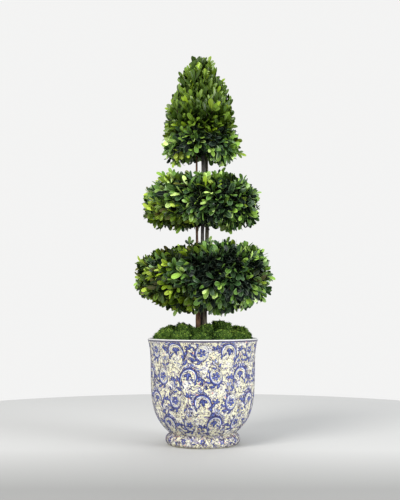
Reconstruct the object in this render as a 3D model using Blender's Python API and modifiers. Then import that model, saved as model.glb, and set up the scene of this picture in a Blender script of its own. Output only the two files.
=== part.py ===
"""A clipped topiary of three tiers on a bundle of bare stems, in a glazed pot with a foot.

Metres, +Z up. The origin is the middle of the pot's flat underside and the front faces -Y.
"""
import math
import random
from collections import namedtuple

import bmesh
import bpy
from mathutils import Matrix, Vector, noise
from mathutils.bvhtree import BVHTree

COLLECTION_NAME = "tiered_topiary"
GAP = 0.0003  # clearance between pieces that touch

# Pot: a flared rim over a round-bottomed body, a narrow neck and a rolled foot
POT_HEIGHT = 0.211
RIM_RADIUS = 0.1104
BODY_RADIUS = 0.104
NECK_RADIUS = 0.0648
NECK_HEIGHT = 0.0225
FLARE_START = 0.160
FLARE_POWER = 2.5
BELLY_POWER = 4.6
BODY_TAPER = 0.05
WALL = 0.006
FLOOR_THICKNESS = 0.014
FOOT_BEAD_CENTRE = 0.0645
FOOT_BEAD_WIDTH = 0.010
FOOT_BEAD_HEIGHT = 0.0105
FOOT_BEAD_START = math.radians(80)
FOOT_BEAD_END = math.radians(-66)
FOOT_BEAD_STEPS = 5
FOOT_EDGE = 0.0015
LIP_STEPS = 4
INNER_RISES = (0.0, 0.010, 0.040, 0.100)  # of the inner wall's points above the floor
INNER_TOP_DROP = 0.006  # of its last point under the filling's top
FLARE_DROPS = (0.0, 0.010, 0.022, 0.038)  # of the outer wall's upper points under the lip
BELLY_STEPS = 7
BELLY_START_DROP = 0.012  # of the belly's first point under the flare's start
POT_STEPS = 36

# Filling under the moss
FILL_TOP = 0.200

# Moss cushions: height of each inner cushion's top, and the two rings they lie in
INNER_MOSS_TOPS = (0.246, 0.247, 0.236, 0.242, 0.240, 0.237)
INNER_MOSS_RING = 0.043
INNER_MOSS_TURN = math.radians(-24)
INNER_MOSS_SIZE = (0.026, 0.027)  # radial and tangential half widths
OUTER_MOSS_TOPS = (
    0.229, 0.227, 0.236, 0.238, 0.229, 0.226, 0.229, 0.238, 0.232, 0.229, 0.227, 0.222,
)
OUTER_MOSS_RING = 0.0764
OUTER_MOSS_TURN = math.radians(-61)
OUTER_MOSS_SIZE = (0.0242, 0.0240)
MOSS_SEGMENTS = 11
MOSS_RINGS = 6
MOSS_STEM_LEVELS = (0.215, 0.230, 0.250)  # where the stems' width is taken for the moss's clearance
MOSS_STEM_GAP = 0.0016
MOSS_SHARP_ANGLE = math.radians(50)

# Stems: place and half width (x, y, radius) of each stem at these heights
STEM_LEVELS = (0.2003, 0.240, 0.415, 0.550, 0.690)
STEM_STATIONS = {
    "trunk_stem_1": (
        (-0.0100, -0.0045, 0.0056),
        (-0.0096, -0.0045, 0.0048),
        (-0.0116, -0.0020, 0.0024),
        (-0.0123, -0.0005, 0.0020),
        (-0.0110, 0.0000, 0.0012),
    ),
    "trunk_stem_2": (
        (-0.0020, 0.0062, 0.0052),
        (-0.0014, 0.0056, 0.0045),
        (-0.0008, 0.0010, 0.0034),
        (0.0016, -0.0004, 0.0044),
        (-0.0030, 0.0010, 0.0018),
    ),
    "trunk_stem_3": (
        (0.0038, -0.0052, 0.0050),
        (0.0034, -0.0048, 0.0044),
        (0.0084, -0.0016, 0.0038),
        (0.0083, 0.0033, 0.0024),
        (0.0060, 0.0000, 0.0010),
    ),
    "trunk_stem_4": (
        (0.0078, 0.0062, 0.0024),
        (0.0066, 0.0062, 0.0020),
        (0.0060, 0.0085, 0.0014),
    ),
}
STEM_TOPS = {"trunk_stem_1": 0.640, "trunk_stem_2": 0.690, "trunk_stem_3": 0.620, "trunk_stem_4": 0.330}
STEM_STEP = 0.040
CHANNEL_SIDES = 10
CHANNEL_STEP = 0.020

# Foliage: each tier is a turned outline, wider at one height, that falls off up and down.
# up and down are (height, power, exponent) of that fall. hollow is how far it draws back at the
# stems. lean is how its top and underside slope, to the left, the right and the back. leader is
# how much further below the top the core ends where one spray stands up on it.
LEVEL = (0.0, 0.0, 0.0)
TIERS = {
    "lower_tier_foliage": {
        "centre": (0.0, 0.0), "level": 0.325, "radius": 0.134, "up": (0.071, 4.0, 0.25),
        "down": (0.062, 2.2, 0.4545), "hollow": {"up": 0.008, "down": 0.006},
        "lean": {"up": (-0.105, 0.035, 0.0), "down": (0.085, -0.010, 0.0)},
        "sprays": 40, "seed": 11, "leader": 0.0,
    },
    "middle_tier_foliage": {
        "centre": (-0.0026, 0.0), "level": 0.480, "radius": 0.115, "up": (0.055, 2.8, 0.357),
        "down": (0.049, 4.0, 0.25), "hollow": {"up": 0.006, "down": 0.010},
        "lean": {"up": LEVEL, "down": (0.0, 0.0, 0.12)}, "sprays": 31, "seed": 23, "leader": 0.0,
    },
    "top_cone_foliage": {
        "centre": (-0.0036, 0.0), "level": 0.600, "radius": 0.077, "up": (0.170, 1.5, 0.60),
        "down": (0.043, 2.6, 0.385), "hollow": {"up": 0.0, "down": 0.012},
        "lean": {"up": LEVEL, "down": (0.0, 0.0, 0.30)}, "sprays": 24, "seed": 37, "leader": 0.018,
    },
}
HOLLOW_RADIUS = 0.042
CORE_INSET = 0.0125
CORE_LUMP = 0.0050
CORE_LUMP_GAIN = 2.2  # the noise is stretched by this, then cut off at its full depth
CORE_GRAIN = 47.0  # how many lumps there are in a metre
CORE_STEPS = 18
CORE_RINGS = 5  # rings above the widest one, and as many below
TWIG_BURIED = 0.005
TWIG_REACH = 0.007
TWIG_RADIUS = 0.0018  # at its foot
LEAF_LENGTH = 0.035
LEAF_WIDTH = 0.021
LEAF_THICKNESS = 0.0016
LEAF_WIDEST = 0.52  # of its length, from its foot
LEAF_RIDGE = 0.45
LEAF_TIP_WIDTH = 0.45  # of the leaf's width, near its blunt tip
LEAF_SUNK = 0.0012
LEAF_TRIES = 16
TRY_LEAN = math.radians(4)  # how much each second try leans over, turns and shrinks
TRY_TURN = math.radians(13)
TRY_SHRINK = 0.03
TIP_LEAF_PLACE = 0.92  # of the twig's length
TIP_LEAF_LEAN = (34, 46)
SIDE_LEAVES = 3  # round each twig, below the one at its tip
SIDE_LEAF_PLACE = 0.80
SIDE_LEAF_STEP = 0.09
SIDE_LEAF_LEAN = (56, 72)
SIDE_LEAF_TURN = (0.35, 0.65)
ENVELOPE_SLACK = 0.0015
LEADER_SLACK = 0.0075
LEADER_LEAN = 0.35  # how far the leaves lean out at the very top, against the others
LEADER_SIZE = 0.75  # and how long they are
STEM_CLEARANCE = 0.018  # how far leaves keep from the middle of the stems

Spot = namedtuple("Spot", "point outward lean slack size")  # where a spray comes out of its tier


def clear_scene():
    for old in list(bpy.data.objects):
        bpy.data.objects.remove(old, do_unlink=True)


def new_collection(name):
    collection = bpy.data.collections.new(name)
    bpy.context.scene.collection.children.link(collection)
    return collection


def make_material(name, colour, roughness, metallic=0.0):
    material = bpy.data.materials.new(name)
    material.use_nodes = True
    shader = material.node_tree.nodes["Principled BSDF"]
    shader.inputs["Base Color"].default_value = (*colour, 1.0)
    shader.inputs["Roughness"].default_value = roughness
    shader.inputs["Metallic"].default_value = metallic
    return material


def add_object(name, mesh, collection, material=None):
    piece = bpy.data.objects.new(name, mesh)
    collection.objects.link(piece)
    if material:
        mesh.materials.clear()
        mesh.materials.append(material)
    return piece


def as_cutter(piece):
    piece.hide_render = True
    piece.display_type = "WIRE"
    return piece


def evaluated_mesh(piece):
    bpy.context.view_layer.update()
    depsgraph = bpy.context.evaluated_depsgraph_get()
    return bpy.data.meshes.new_from_object(piece.evaluated_get(depsgraph))


def bmesh_to_mesh(bm, name):
    mesh = bpy.data.meshes.new(name)
    bm.normal_update()
    bm.to_mesh(mesh)
    bm.free()
    return mesh


# --- turned shapes ---

def turned_object(name, profile, steps, collection, material):
    """A profile of (radius, height) points in the XZ plane, turned once about Z."""
    mesh = bpy.data.meshes.new(name)
    points = [(radius, 0.0, height) for radius, height in profile]
    edges = [(i, i + 1) for i in range(len(points) - 1)]
    mesh.from_pydata(points, edges, [])
    piece = add_object(name, mesh, collection, material)
    screw = piece.modifiers.new("turn", "SCREW")
    screw.angle = math.tau
    screw.steps = steps
    screw.render_steps = steps
    screw.use_merge_vertices = True
    screw.merge_threshold = 0.00001
    screw.use_smooth_shade = True
    return piece


def pot_outer_radius(height):
    """Radius of the pot's outside between its neck and its lip."""
    if height >= FLARE_START:
        rise = (height - FLARE_START) / (POT_HEIGHT - FLARE_START)
        return BODY_RADIUS + (RIM_RADIUS - BODY_RADIUS) * rise ** FLARE_POWER
    rise = (height - NECK_HEIGHT) / (FLARE_START - NECK_HEIGHT)
    belly = 1.0 - (1.0 - rise) ** BELLY_POWER
    share = (1.0 - BODY_TAPER) * belly + BODY_TAPER * rise
    return NECK_RADIUS + (BODY_RADIUS - NECK_RADIUS) * share


def pot_inner_radius(height):
    return pot_outer_radius(height) - WALL


def inner_levels():
    """Heights of the inner wall's points, from the floor up to the lip."""
    floor_level = NECK_HEIGHT + FLOOR_THICKNESS
    return [floor_level + rise for rise in INNER_RISES] + [FILL_TOP - INNER_TOP_DROP]


def outer_levels():
    """Heights of the outer wall's points, from the lip down, closer together over the belly."""
    flare = [POT_HEIGHT - WALL - drop for drop in FLARE_DROPS]
    span = FLARE_START - BELLY_START_DROP - NECK_HEIGHT
    belly = [NECK_HEIGHT + span * (1.0 - i / BELLY_STEPS) ** 2 for i in range(BELLY_STEPS + 1)]
    return flare + belly


def foot_point(turn):
    """A point of the foot's bead, at a turn round its section."""
    radius = FOOT_BEAD_CENTRE + FOOT_BEAD_WIDTH * math.cos(turn)
    return radius, FOOT_BEAD_HEIGHT * (1.0 + math.sin(turn))


def pot_profile():
    lip = WALL / 2
    lip_middle = RIM_RADIUS - lip
    profile = [(0.0, inner_levels()[0])]
    profile += [(pot_inner_radius(level), level) for level in inner_levels()]
    for i in range(LIP_STEPS + 1):
        turn = math.pi * (1.0 - i / LIP_STEPS)
        profile.append((lip_middle + lip * math.cos(turn), POT_HEIGHT - lip + lip * math.sin(turn)))
    profile += [(pot_outer_radius(level), level) for level in outer_levels()]
    for i in range(1, FOOT_BEAD_STEPS + 1):
        share = i / FOOT_BEAD_STEPS
        profile.append(foot_point(FOOT_BEAD_START + (FOOT_BEAD_END - FOOT_BEAD_START) * share))
    return profile + [(profile[-1][0] - FOOT_EDGE, 0.0), (0.0, 0.0)]


def fill_profile():
    levels = [level for level in inner_levels() if level < FILL_TOP]
    top_radius = pot_inner_radius(FILL_TOP) - GAP
    profile = [(0.0, FILL_TOP), (top_radius, FILL_TOP)]
    profile += [(pot_inner_radius(level) - GAP, level) for level in reversed(levels[1:])]
    profile.append((pot_inner_radius(levels[0]) - 2 * GAP, levels[0] + GAP))
    profile.append((0.0, levels[0] + GAP))
    return profile


def build_pot(parts, materials):
    turned_object("pot", pot_profile(), POT_STEPS, parts, materials["glaze"])
    turned_object("planting_fill", fill_profile(), POT_STEPS, parts, materials["fill"])


# --- stems ---

def stem_section(name, height):
    """Middle and radius of a stem at a height, eased between its stations."""
    stations = STEM_STATIONS[name]
    levels = STEM_LEVELS[:len(stations)]
    last = len(stations) - 1
    i = 0
    while i < last - 1 and height > levels[i + 1]:
        i += 1
    share = (height - levels[i]) / (levels[i + 1] - levels[i])
    before = stations[max(i - 1, 0)]
    after = stations[min(i + 2, last)]
    section = []
    for a, b, c, d in zip(before, stations[i], stations[i + 1], after):
        bend = (-a + 3 * b - 3 * c + d) * share ** 3 + (2 * a - 5 * b + 4 * c - d) * share ** 2
        section.append(0.5 * (bend + (c - a) * share + 2 * b))
    return section


def stem_heights(name):
    top = STEM_TOPS[name]
    count = math.ceil((top - STEM_LEVELS[0]) / STEM_STEP)
    return [STEM_LEVELS[0] + (top - STEM_LEVELS[0]) * i / count for i in range(count + 1)]


def build_stem(name, parts, material):
    """One bare stem: a tapering tube from a flat foot on the filling to its tip."""
    curve = bpy.data.curves.new(name, "CURVE")
    curve.dimensions = "3D"
    curve.bevel_depth = 1.0
    curve.bevel_resolution = 2
    curve.use_fill_caps = True
    heights = stem_heights(name)
    spline = curve.splines.new("POLY")
    spline.points.add(len(heights) - 1)
    for point, height in zip(spline.points, heights):
        x, y, radius = stem_section(name, height)
        point.co = (x, y, height, 1.0)
        point.radius = radius
    spline.use_smooth = True
    curve.materials.append(material)
    stem = bpy.data.objects.new(name, curve)
    parts.objects.link(stem)
    return stem


def bundle_middle(height):
    middles = [stem_section(name, height) for name in STEM_STATIONS if height <= STEM_TOPS[name]]
    count = len(middles)
    return sum(m[0] for m in middles) / count, sum(m[1] for m in middles) / count


def bundle_reach(height, angle):
    """How far the stems reach from their middle in one direction."""
    middle_x, middle_y = bundle_middle(height)
    reach = 0.0
    for name in STEM_STATIONS:
        if height <= STEM_TOPS[name] + STEM_STEP:
            x, y, radius = stem_section(name, min(height, STEM_TOPS[name]))
            ahead = (x - middle_x) * math.cos(angle) + (y - middle_y) * math.sin(angle)
            reach = max(reach, ahead + radius)
    return reach


def channel_cutter(name, bottom, top, cutters):
    """A loft round all the stems, the clearance wider than they are, from bottom to top."""
    bm = bmesh.new()
    count = max(math.ceil((top - bottom) / CHANNEL_STEP), 1)
    rings = []
    for i in range(count + 1):
        height = bottom + (top - bottom) * i / count
        inside = min(height, STEM_TOPS["trunk_stem_2"])
        middle_x, middle_y = bundle_middle(inside)
        ring = []
        for k in range(CHANNEL_SIDES):
            angle = math.tau * k / CHANNEL_SIDES
            reach = bundle_reach(inside, angle) / math.cos(math.pi / CHANNEL_SIDES) + 2 * GAP
            ring.append(bm.verts.new((
                middle_x + reach * math.cos(angle), middle_y + reach * math.sin(angle), height,
            )))
        rings.append(ring)
    for low, high in zip(rings, rings[1:]):
        for k in range(CHANNEL_SIDES):
            after = (k + 1) % CHANNEL_SIDES
            bm.faces.new((low[k], low[after], high[after], high[k]))
    bm.faces.new(list(reversed(rings[0])))
    bm.faces.new(rings[-1])
    return as_cutter(add_object(name, bmesh_to_mesh(bm, name), cutters))


# --- moss ---

def moss_cushions():
    """Each cushion's name, place, direction from the middle, half widths and top."""
    cushions = []
    for i, top in enumerate(INNER_MOSS_TOPS):
        angle = math.tau * i / len(INNER_MOSS_TOPS) + INNER_MOSS_TURN
        cushions.append((f"moss_inner_{i + 1}", INNER_MOSS_RING, angle, INNER_MOSS_SIZE, top))
    for i, top in enumerate(OUTER_MOSS_TOPS):
        angle = math.tau * i / len(OUTER_MOSS_TOPS) + OUTER_MOSS_TURN
        cushions.append((f"moss_outer_{i + 1}", OUTER_MOSS_RING, angle, OUTER_MOSS_SIZE, top))
    return cushions


def trim(bm, point, normal):
    """Cut away what lies ahead of a plane and close the cut."""
    everything = bm.verts[:] + bm.edges[:] + bm.faces[:]
    cut = bmesh.ops.bisect_plane(
        bm, geom=everything, dist=1e-7, plane_co=point, plane_no=normal, clear_outer=True
    )
    rim = [edge for edge in cut["geom_cut"] if isinstance(edge, bmesh.types.BMEdge)]
    if rim:
        bmesh.ops.contextual_create(bm, geom=rim)


def build_moss(parts, material):
    """Cushions on the filling, trimmed clear of one another and of the stems."""
    cushions = moss_cushions()
    places = [Vector((ring * math.cos(a), ring * math.sin(a), 0.0)) for _, ring, a, _, _ in cushions]
    foot = FILL_TOP + GAP
    for i, (name, ring, angle, (deep, wide), top) in enumerate(cushions):
        bm = bmesh.new()
        bmesh.ops.create_uvsphere(bm, u_segments=MOSS_SEGMENTS, v_segments=MOSS_RINGS, radius=1.0)
        shape = Matrix.Diagonal((deep, wide, top - foot, 1.0))
        spot = Matrix.Translation(places[i] + Vector((0.0, 0.0, foot)))
        bmesh.ops.transform(bm, matrix=spot @ Matrix.Rotation(angle, 4, "Z") @ shape, verts=bm.verts)
        trim(bm, (0.0, 0.0, foot), (0.0, 0.0, -1.0))
        for k, other in enumerate(places):
            if k == i:
                continue
            across = other - places[i]
            normal = across.normalized()
            trim(bm, places[i] + across / 2 - normal * GAP / 2, normal)
        middle_x, middle_y = bundle_middle(foot)
        middle = Vector((middle_x, middle_y, foot))
        inward = middle - (places[i] + Vector((0.0, 0.0, foot)))
        outward_angle = math.atan2(-inward.y, -inward.x)
        clear = max(bundle_reach(height, outward_angle) for height in (foot, *MOSS_STEM_LEVELS))
        drift = Vector((math.cos(outward_angle), math.sin(outward_angle), 0.0))
        trim(bm, middle + drift * (clear + MOSS_STEM_GAP), -drift)
        cushion = add_object(name, bmesh_to_mesh(bm, name), parts, material)
        cushion.data.shade_smooth()
        cushion.data.set_sharp_from_angle(angle=MOSS_SHARP_ANGLE)


# --- foliage ---

def tier_radius(tier, height, grow=0.0):
    """Radius of a tier's outline at a height, with the outline grown by a margin."""
    fall = tier["up"] if height >= tier["level"] else tier["down"]
    share = abs(height - tier["level"]) / (fall[0] + grow)
    if share >= 1.0:
        return 0.0
    return (tier["radius"] + grow) * (1.0 - share ** fall[1]) ** fall[2]


def half_at(tier, height):
    return "up" if height >= tier["level"] else "down"


def hollow_at(tier, half, across):
    """How far a tier's top or underside draws back there, towards the stems."""
    return tier["hollow"][half] * max(0.0, 1.0 - (across / HOLLOW_RADIUS) ** 2)


def lean_at(tier, point):
    """How much a tier's outline is raised there, where its top or underside isn't level."""
    half = half_at(tier, point.z)
    share = min(1.0, abs(point.z - tier["level"]) / tier[half][0])
    left, right, back = tier["lean"][half]
    rise = left * max(0.0, -point.x) + right * max(0.0, point.x) + back * max(0.0, point.y)
    return rise * share * share * (3.0 - 2.0 * share)


def inside_tier(tier, point, grow):
    across = math.hypot(point.x - tier["centre"][0], point.y - tier["centre"][1])
    height = point.z - lean_at(tier, point)
    half = half_at(tier, height)
    if abs(height - tier["level"]) > tier[half][0] + grow - hollow_at(tier, half, across):
        return False
    return across <= tier_radius(tier, height, grow)


def tier_outline(tier, grow, rings):
    """(radius, height) points down a tier's outline, evenly turned round its section."""
    points = []
    for half, sign in (("up", 1.0), ("down", -1.0)):
        reach = tier[half][0] + grow
        for i in range(rings + 1):
            turn = math.pi / 2 * (1.0 - i / rings) if half == "up" else math.pi / 2 * i / rings
            height = tier["level"] + sign * reach * math.sin(turn)
            radius = tier_radius(tier, height, grow)
            if half == "up" or i:
                points.append((radius, height - sign * hollow_at(tier, half, radius)))
    return points


def build_core(name, tier, cutters):
    """The dense inside of a tier: a lumpy turned body with a clear channel round the stems."""
    helper = new_collection(name + "_core")
    rise, power, exponent = tier["up"]
    inside = dict(tier, up=(rise - tier["leader"], power, exponent))
    outline = tier_outline(inside, -CORE_INSET, CORE_RINGS)
    blank = turned_object(name + "_blank", outline, CORE_STEPS, helper, None)
    mesh = evaluated_mesh(blank)
    for vertex in mesh.vertices:
        lump = noise.noise(vertex.co * CORE_GRAIN + Vector((tier["seed"], 0.0, 0.0)))
        away = Vector((vertex.co.x, vertex.co.y, (vertex.co.z - tier["level"]) * 1.5))
        if away.length > 0.0:
            vertex.co += away.normalized() * max(-1.0, min(1.0, lump * CORE_LUMP_GAIN)) * CORE_LUMP
        vertex.co.z += lean_at(tier, vertex.co)
        vertex.co.x += tier["centre"][0]
        vertex.co.y += tier["centre"][1]
    core = add_object(name + "_cut", mesh, helper)
    bottom = tier["level"] - tier["down"][0]
    top = min(tier["level"] + tier["up"][0], STEM_TOPS["trunk_stem_2"] + 2 * GAP)
    cutter = channel_cutter(name + "_channel", bottom, top, cutters)
    cut = core.modifiers.new("channel", "BOOLEAN")
    cut.operation = "DIFFERENCE"
    cut.solver = "EXACT"
    cut.object = cutter
    finished = evaluated_mesh(core)
    finished.shade_flat()
    for piece in (core, blank):
        bpy.data.objects.remove(piece, do_unlink=True)
    bpy.data.collections.remove(helper)
    return finished


def leaf_shape(root, ahead, face, length, width):
    """A thick-based blade with a blunt tip: an outline of five points and a ridge each side."""
    side = face.cross(ahead)
    outline = [
        root,
        root + ahead * length * LEAF_WIDEST + side * width / 2,
        root + ahead * length * LEAF_WIDEST - side * width / 2,
        root + ahead * length + side * width / 2 * LEAF_TIP_WIDTH,
        root + ahead * length - side * width / 2 * LEAF_TIP_WIDTH,
    ]
    ridge = root + ahead * length * LEAF_RIDGE
    bm = bmesh.new()
    for point in outline + [ridge + face * LEAF_THICKNESS / 2, ridge - face * LEAF_THICKNESS / 2]:
        bm.verts.new(point)
    bmesh.ops.convex_hull(bm, input=bm.verts)
    return bm


def twig_shape(start, end):
    """A three-sided twig that runs out to a point."""
    along = end - start
    bm = bmesh.new()
    bmesh.ops.create_cone(bm, cap_ends=True, segments=3, radius1=TWIG_RADIUS, radius2=0.0, depth=along.length)
    turn = along.to_track_quat("Z", "Y").to_matrix().to_4x4()
    bmesh.ops.transform(bm, matrix=Matrix.Translation((start + end) / 2) @ turn, verts=bm.verts)
    return bm


def spray_spots(tier, count):
    """Where each spray comes out of a tier: evenly spread, with a leader at the top of the cone."""
    outline = tier_outline(tier, 0.0, 40)
    spans, total = [], 0.0
    for (r0, z0), (r1, z1) in zip(outline, outline[1:]):
        area = math.hypot(r1 - r0, z1 - z0) * (r0 + r1)
        spans.append((total, area, r0, z0, r1, z1))
        total += area
    golden = math.pi * (3.0 - math.sqrt(5.0))
    if tier["leader"]:
        top = Vector((*tier["centre"], outline[0][1] - tier["leader"]))
        yield Spot(top, Vector((0.0, 0.0, 1.0)), LEADER_LEAN, LEADER_SLACK, LEADER_SIZE)
    for i in range(count):
        target = total * (i + 0.5) / count
        span = next(s for s in reversed(spans) if s[0] <= target)
        before, area, r0, z0, r1, z1 = span
        share = (target - before) / area
        radius = r0 + (r1 - r0) * share
        height = z0 + (z1 - z0) * share
        angle = golden * i
        out = Vector((z0 - z1, r1 - r0)).normalized()
        direction = Vector((out.x * math.cos(angle), out.x * math.sin(angle), out.y))
        x = tier["centre"][0] + radius * math.cos(angle)
        y = tier["centre"][1] + radius * math.sin(angle)
        point = Vector((x, y, height))
        point.z += lean_at(tier, point)
        yield Spot(point, direction, 1.0, ENVELOPE_SLACK, 1.0)


def tilted(direction, tilt, roll):
    """A direction leaned over by tilt, towards the side that roll gives."""
    across = direction.orthogonal().normalized()
    across.rotate(Matrix.Rotation(roll, 3, direction))
    return (direction * math.cos(tilt) + across * math.sin(tilt)).normalized()


def clear_of_stems(point):
    height = min(point.z, STEM_TOPS["trunk_stem_2"])
    middle_x, middle_y = bundle_middle(height)
    across = math.hypot(point.x - middle_x, point.y - middle_y)
    return math.hypot(across, point.z - height) >= STEM_CLEARANCE


def is_free(shape, taken):
    """Whether a piece crosses none of the others."""
    tree = BVHTree.FromBMesh(shape)
    return not any(tree.overlap(other) for other in taken)


def fitted_leaf(tier, rng, root, twig, spot, tilt, roll, taken):
    """A leaf at a twig's side that stays in its tier and crosses nothing, or None."""
    length = LEAF_LENGTH * spot.size * rng.uniform(0.88, 1.08)
    twist = math.radians(rng.uniform(-20, 20))
    for step in range(LEAF_TRIES):
        lean = tilt + TRY_LEAN * (step // 2)
        turn = roll + TRY_TURN * (step // 2) * (-1) ** step
        size = length * (1.0 - TRY_SHRINK * (step // 2))
        ahead = tilted(twig, lean, turn)
        tip = root + ahead * size
        if not inside_tier(tier, tip, spot.slack):
            continue
        face = (spot.outward - ahead * spot.outward.dot(ahead)).normalized()
        face.rotate(Matrix.Rotation(twist, 3, ahead))
        shape = leaf_shape(root - ahead * LEAF_SUNK, ahead, face, size, LEAF_WIDTH * size / LEAF_LENGTH)
        if all(clear_of_stems(corner.co) for corner in shape.verts) and is_free(shape, taken):
            return shape
        shape.free()
    return None


def spray_shapes(tier, rng, spot, core, taken):
    """One twig out of the core, with leaves at its end and round it."""
    twig = tilted(spot.outward, math.radians(rng.uniform(0, 18)), rng.uniform(0, math.tau))
    foot = spot.point - spot.outward * (CORE_INSET + TWIG_BURIED)
    end = foot + twig * (TWIG_BURIED + TWIG_REACH)
    stalk = twig_shape(foot, end)
    if not clear_of_stems(end) or not is_free(stalk, taken):
        stalk.free()
        return []
    roll = rng.uniform(0, math.tau)
    plan = [(TIP_LEAF_PLACE, rng.uniform(*TIP_LEAF_LEAN), roll)]
    for i in range(SIDE_LEAVES):
        share = SIDE_LEAF_PLACE - SIDE_LEAF_STEP * i
        turn = roll + math.tau * (i + rng.uniform(*SIDE_LEAF_TURN)) / SIDE_LEAVES
        plan.append((share, rng.uniform(*SIDE_LEAF_LEAN), turn))
    shapes = [stalk]
    for share, tilt, turn in plan:
        root = foot + (end - foot) * share
        leaf = fitted_leaf(tier, rng, root, twig, spot, math.radians(tilt) * spot.lean, turn, [core] + taken)
        if leaf:
            shapes.append(leaf)
    return shapes


def keep_main_body(mesh):
    """Drop loose scraps and fill sealed hollows, so that one closed body is left."""
    bm = bmesh.new()
    bm.from_mesh(mesh)
    bmesh.ops.triangulate(bm, faces=bm.faces[:])
    waiting = set(bm.faces)
    bodies = []
    while waiting:
        seed = waiting.pop()
        body, edge_faces = [seed], [seed]
        while edge_faces:
            face = edge_faces.pop()
            for edge in face.edges:
                for other in edge.link_faces:
                    if other in waiting:
                        waiting.discard(other)
                        body.append(other)
                        edge_faces.append(other)
        volume = sum(f.verts[0].co.dot(f.verts[1].co.cross(f.verts[2].co)) for f in body)
        bodies.append((volume, body))
    bodies.sort(key=lambda entry: entry[0])
    spare = [face for _, body in bodies[:-1] for face in body]
    bmesh.ops.delete(bm, geom=spare, context="FACES")
    bm.to_mesh(mesh)
    bm.free()


def build_tier(name, tier, parts, cutters, material):
    """A core with sprays of leaves standing out of it, fused into one body."""
    rng = random.Random(tier["seed"])
    core = add_object(name, build_core(name, tier, cutters), parts)
    sprays = new_collection(name + "_sprays")
    core_tree = BVHTree.FromPolygons(
        [vertex.co for vertex in core.data.vertices], [face.vertices for face in core.data.polygons]
    )
    taken = []
    for spot in spray_spots(tier, tier["sprays"]):
        shapes = spray_shapes(tier, rng, spot, core_tree, taken)
        taken += [BVHTree.FromBMesh(shape) for shape in shapes]
        for shape in shapes:
            add_object("leaf_or_twig", bmesh_to_mesh(shape, "leaf_or_twig"), sprays)
    fuse = core.modifiers.new("fuse", "BOOLEAN")
    fuse.operation = "UNION"
    fuse.operand_type = "COLLECTION"
    fuse.collection = sprays
    fuse.solver = "MANIFOLD"
    fused = evaluated_mesh(core)
    core.modifiers.clear()
    core.data = fused
    for piece in list(sprays.objects):
        bpy.data.objects.remove(piece, do_unlink=True)
    bpy.data.collections.remove(sprays)
    keep_main_body(fused)
    fused.materials.clear()
    fused.materials.append(material)


def build():
    clear_scene()
    parts = new_collection(COLLECTION_NAME)
    cutters = new_collection("cutters")
    materials = {
        "glaze": make_material("glazed_ceramic", (0.78, 0.78, 0.70), 0.18),
        "fill": make_material("planting_fill", (0.10, 0.07, 0.05), 0.9),
        "bark": make_material("bark", (0.12, 0.08, 0.06), 0.8),
        "moss": make_material("moss", (0.14, 0.24, 0.05), 0.95),
        "leaf": make_material("leaf", (0.12, 0.22, 0.05), 0.5),
    }
    build_pot(parts, materials)
    for name in STEM_STATIONS:
        build_stem(name, parts, materials["bark"])
    build_moss(parts, materials["moss"])
    for name, tier in TIERS.items():
        build_tier(name, tier, parts, cutters, materials["leaf"])


build()
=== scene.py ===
"""The looks of a tiered topiary in a footed, glazed pot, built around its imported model."""

import math
import random
from collections import namedtuple

import bmesh
import bpy
import numpy as np
from mathutils import Matrix, Vector, noise


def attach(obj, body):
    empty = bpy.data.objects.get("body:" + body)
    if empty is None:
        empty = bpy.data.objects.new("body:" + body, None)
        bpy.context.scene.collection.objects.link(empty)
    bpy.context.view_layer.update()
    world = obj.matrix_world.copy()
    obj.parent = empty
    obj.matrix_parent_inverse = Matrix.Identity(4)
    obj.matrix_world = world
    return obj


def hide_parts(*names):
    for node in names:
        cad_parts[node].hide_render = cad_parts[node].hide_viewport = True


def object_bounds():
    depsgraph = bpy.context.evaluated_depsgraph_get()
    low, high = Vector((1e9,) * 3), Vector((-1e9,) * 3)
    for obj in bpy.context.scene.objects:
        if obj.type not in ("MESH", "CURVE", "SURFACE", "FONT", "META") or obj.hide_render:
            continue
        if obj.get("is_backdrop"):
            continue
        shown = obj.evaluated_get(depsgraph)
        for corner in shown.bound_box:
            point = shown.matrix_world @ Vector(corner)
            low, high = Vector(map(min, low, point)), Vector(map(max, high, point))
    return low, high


Paint = namedtuple("Paint", "colour lift")
Spot = namedtuple("Spot", "point outward angle")
Bark = namedtuple("Bark", "name dark light streaks")
Stem = namedtuple("Stem", "top bark stations")
Tint = namedtuple("Tint", "colour sheen")

# Sizes in metres, the same named values as the solids have. Heights are above the table.
POT_HEIGHT = 0.211
RIM_RADIUS = 0.1104
BODY_RADIUS = 0.104
NECK_RADIUS = 0.0648
NECK_HEIGHT = 0.0225
FLARE_START = 0.160
FLARE_POWER = 2.5
BELLY_POWER = 4.6
BODY_TAPER = 0.05
WALL = 0.006
LIP_LEVEL = POT_HEIGHT - WALL / 2  # where the lip starts to turn over
FLOOR_THICKNESS = 0.014
FOOT_BEAD_CENTRE = 0.0645
FOOT_BEAD_WIDTH = 0.010
FOOT_BEAD_HEIGHT = 0.0105
FOOT_BEAD_START = math.radians(80)
FOOT_BEAD_END = math.radians(-66)
FOOT_EDGE = 0.0015
POT_STEPS = 192

# Where each band of colour at the lip fades in, from and to a depth below the pot's top.
LIP_GLAZE = (0.0032, 0.0024)
# The dark line at the lip is partly a painted line and partly painted shadow under the lip.
LIP_SHADOW_LINE_TOP = (0.0018, 0.0022)
LIP_SHADOW_LINE_FOOT = (0.0052, 0.0046)
LIP_SHADOW_LINE_SIDE = (0.0026, 0.0022)  # in from the rim's radius
SCRIBBLES_TOP = (0.0024, 0.0028)
SCRIBBLES_RADII = (0.040, 0.045)  # and none nearer to the middle
SCRIBBLES = ((105.0, (0.40, 0.37, 0.58)), (150.0, (0.33, 0.29, 0.42)))  # scale and colour
SCRIBBLE_WIDTH = 0.022

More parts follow.
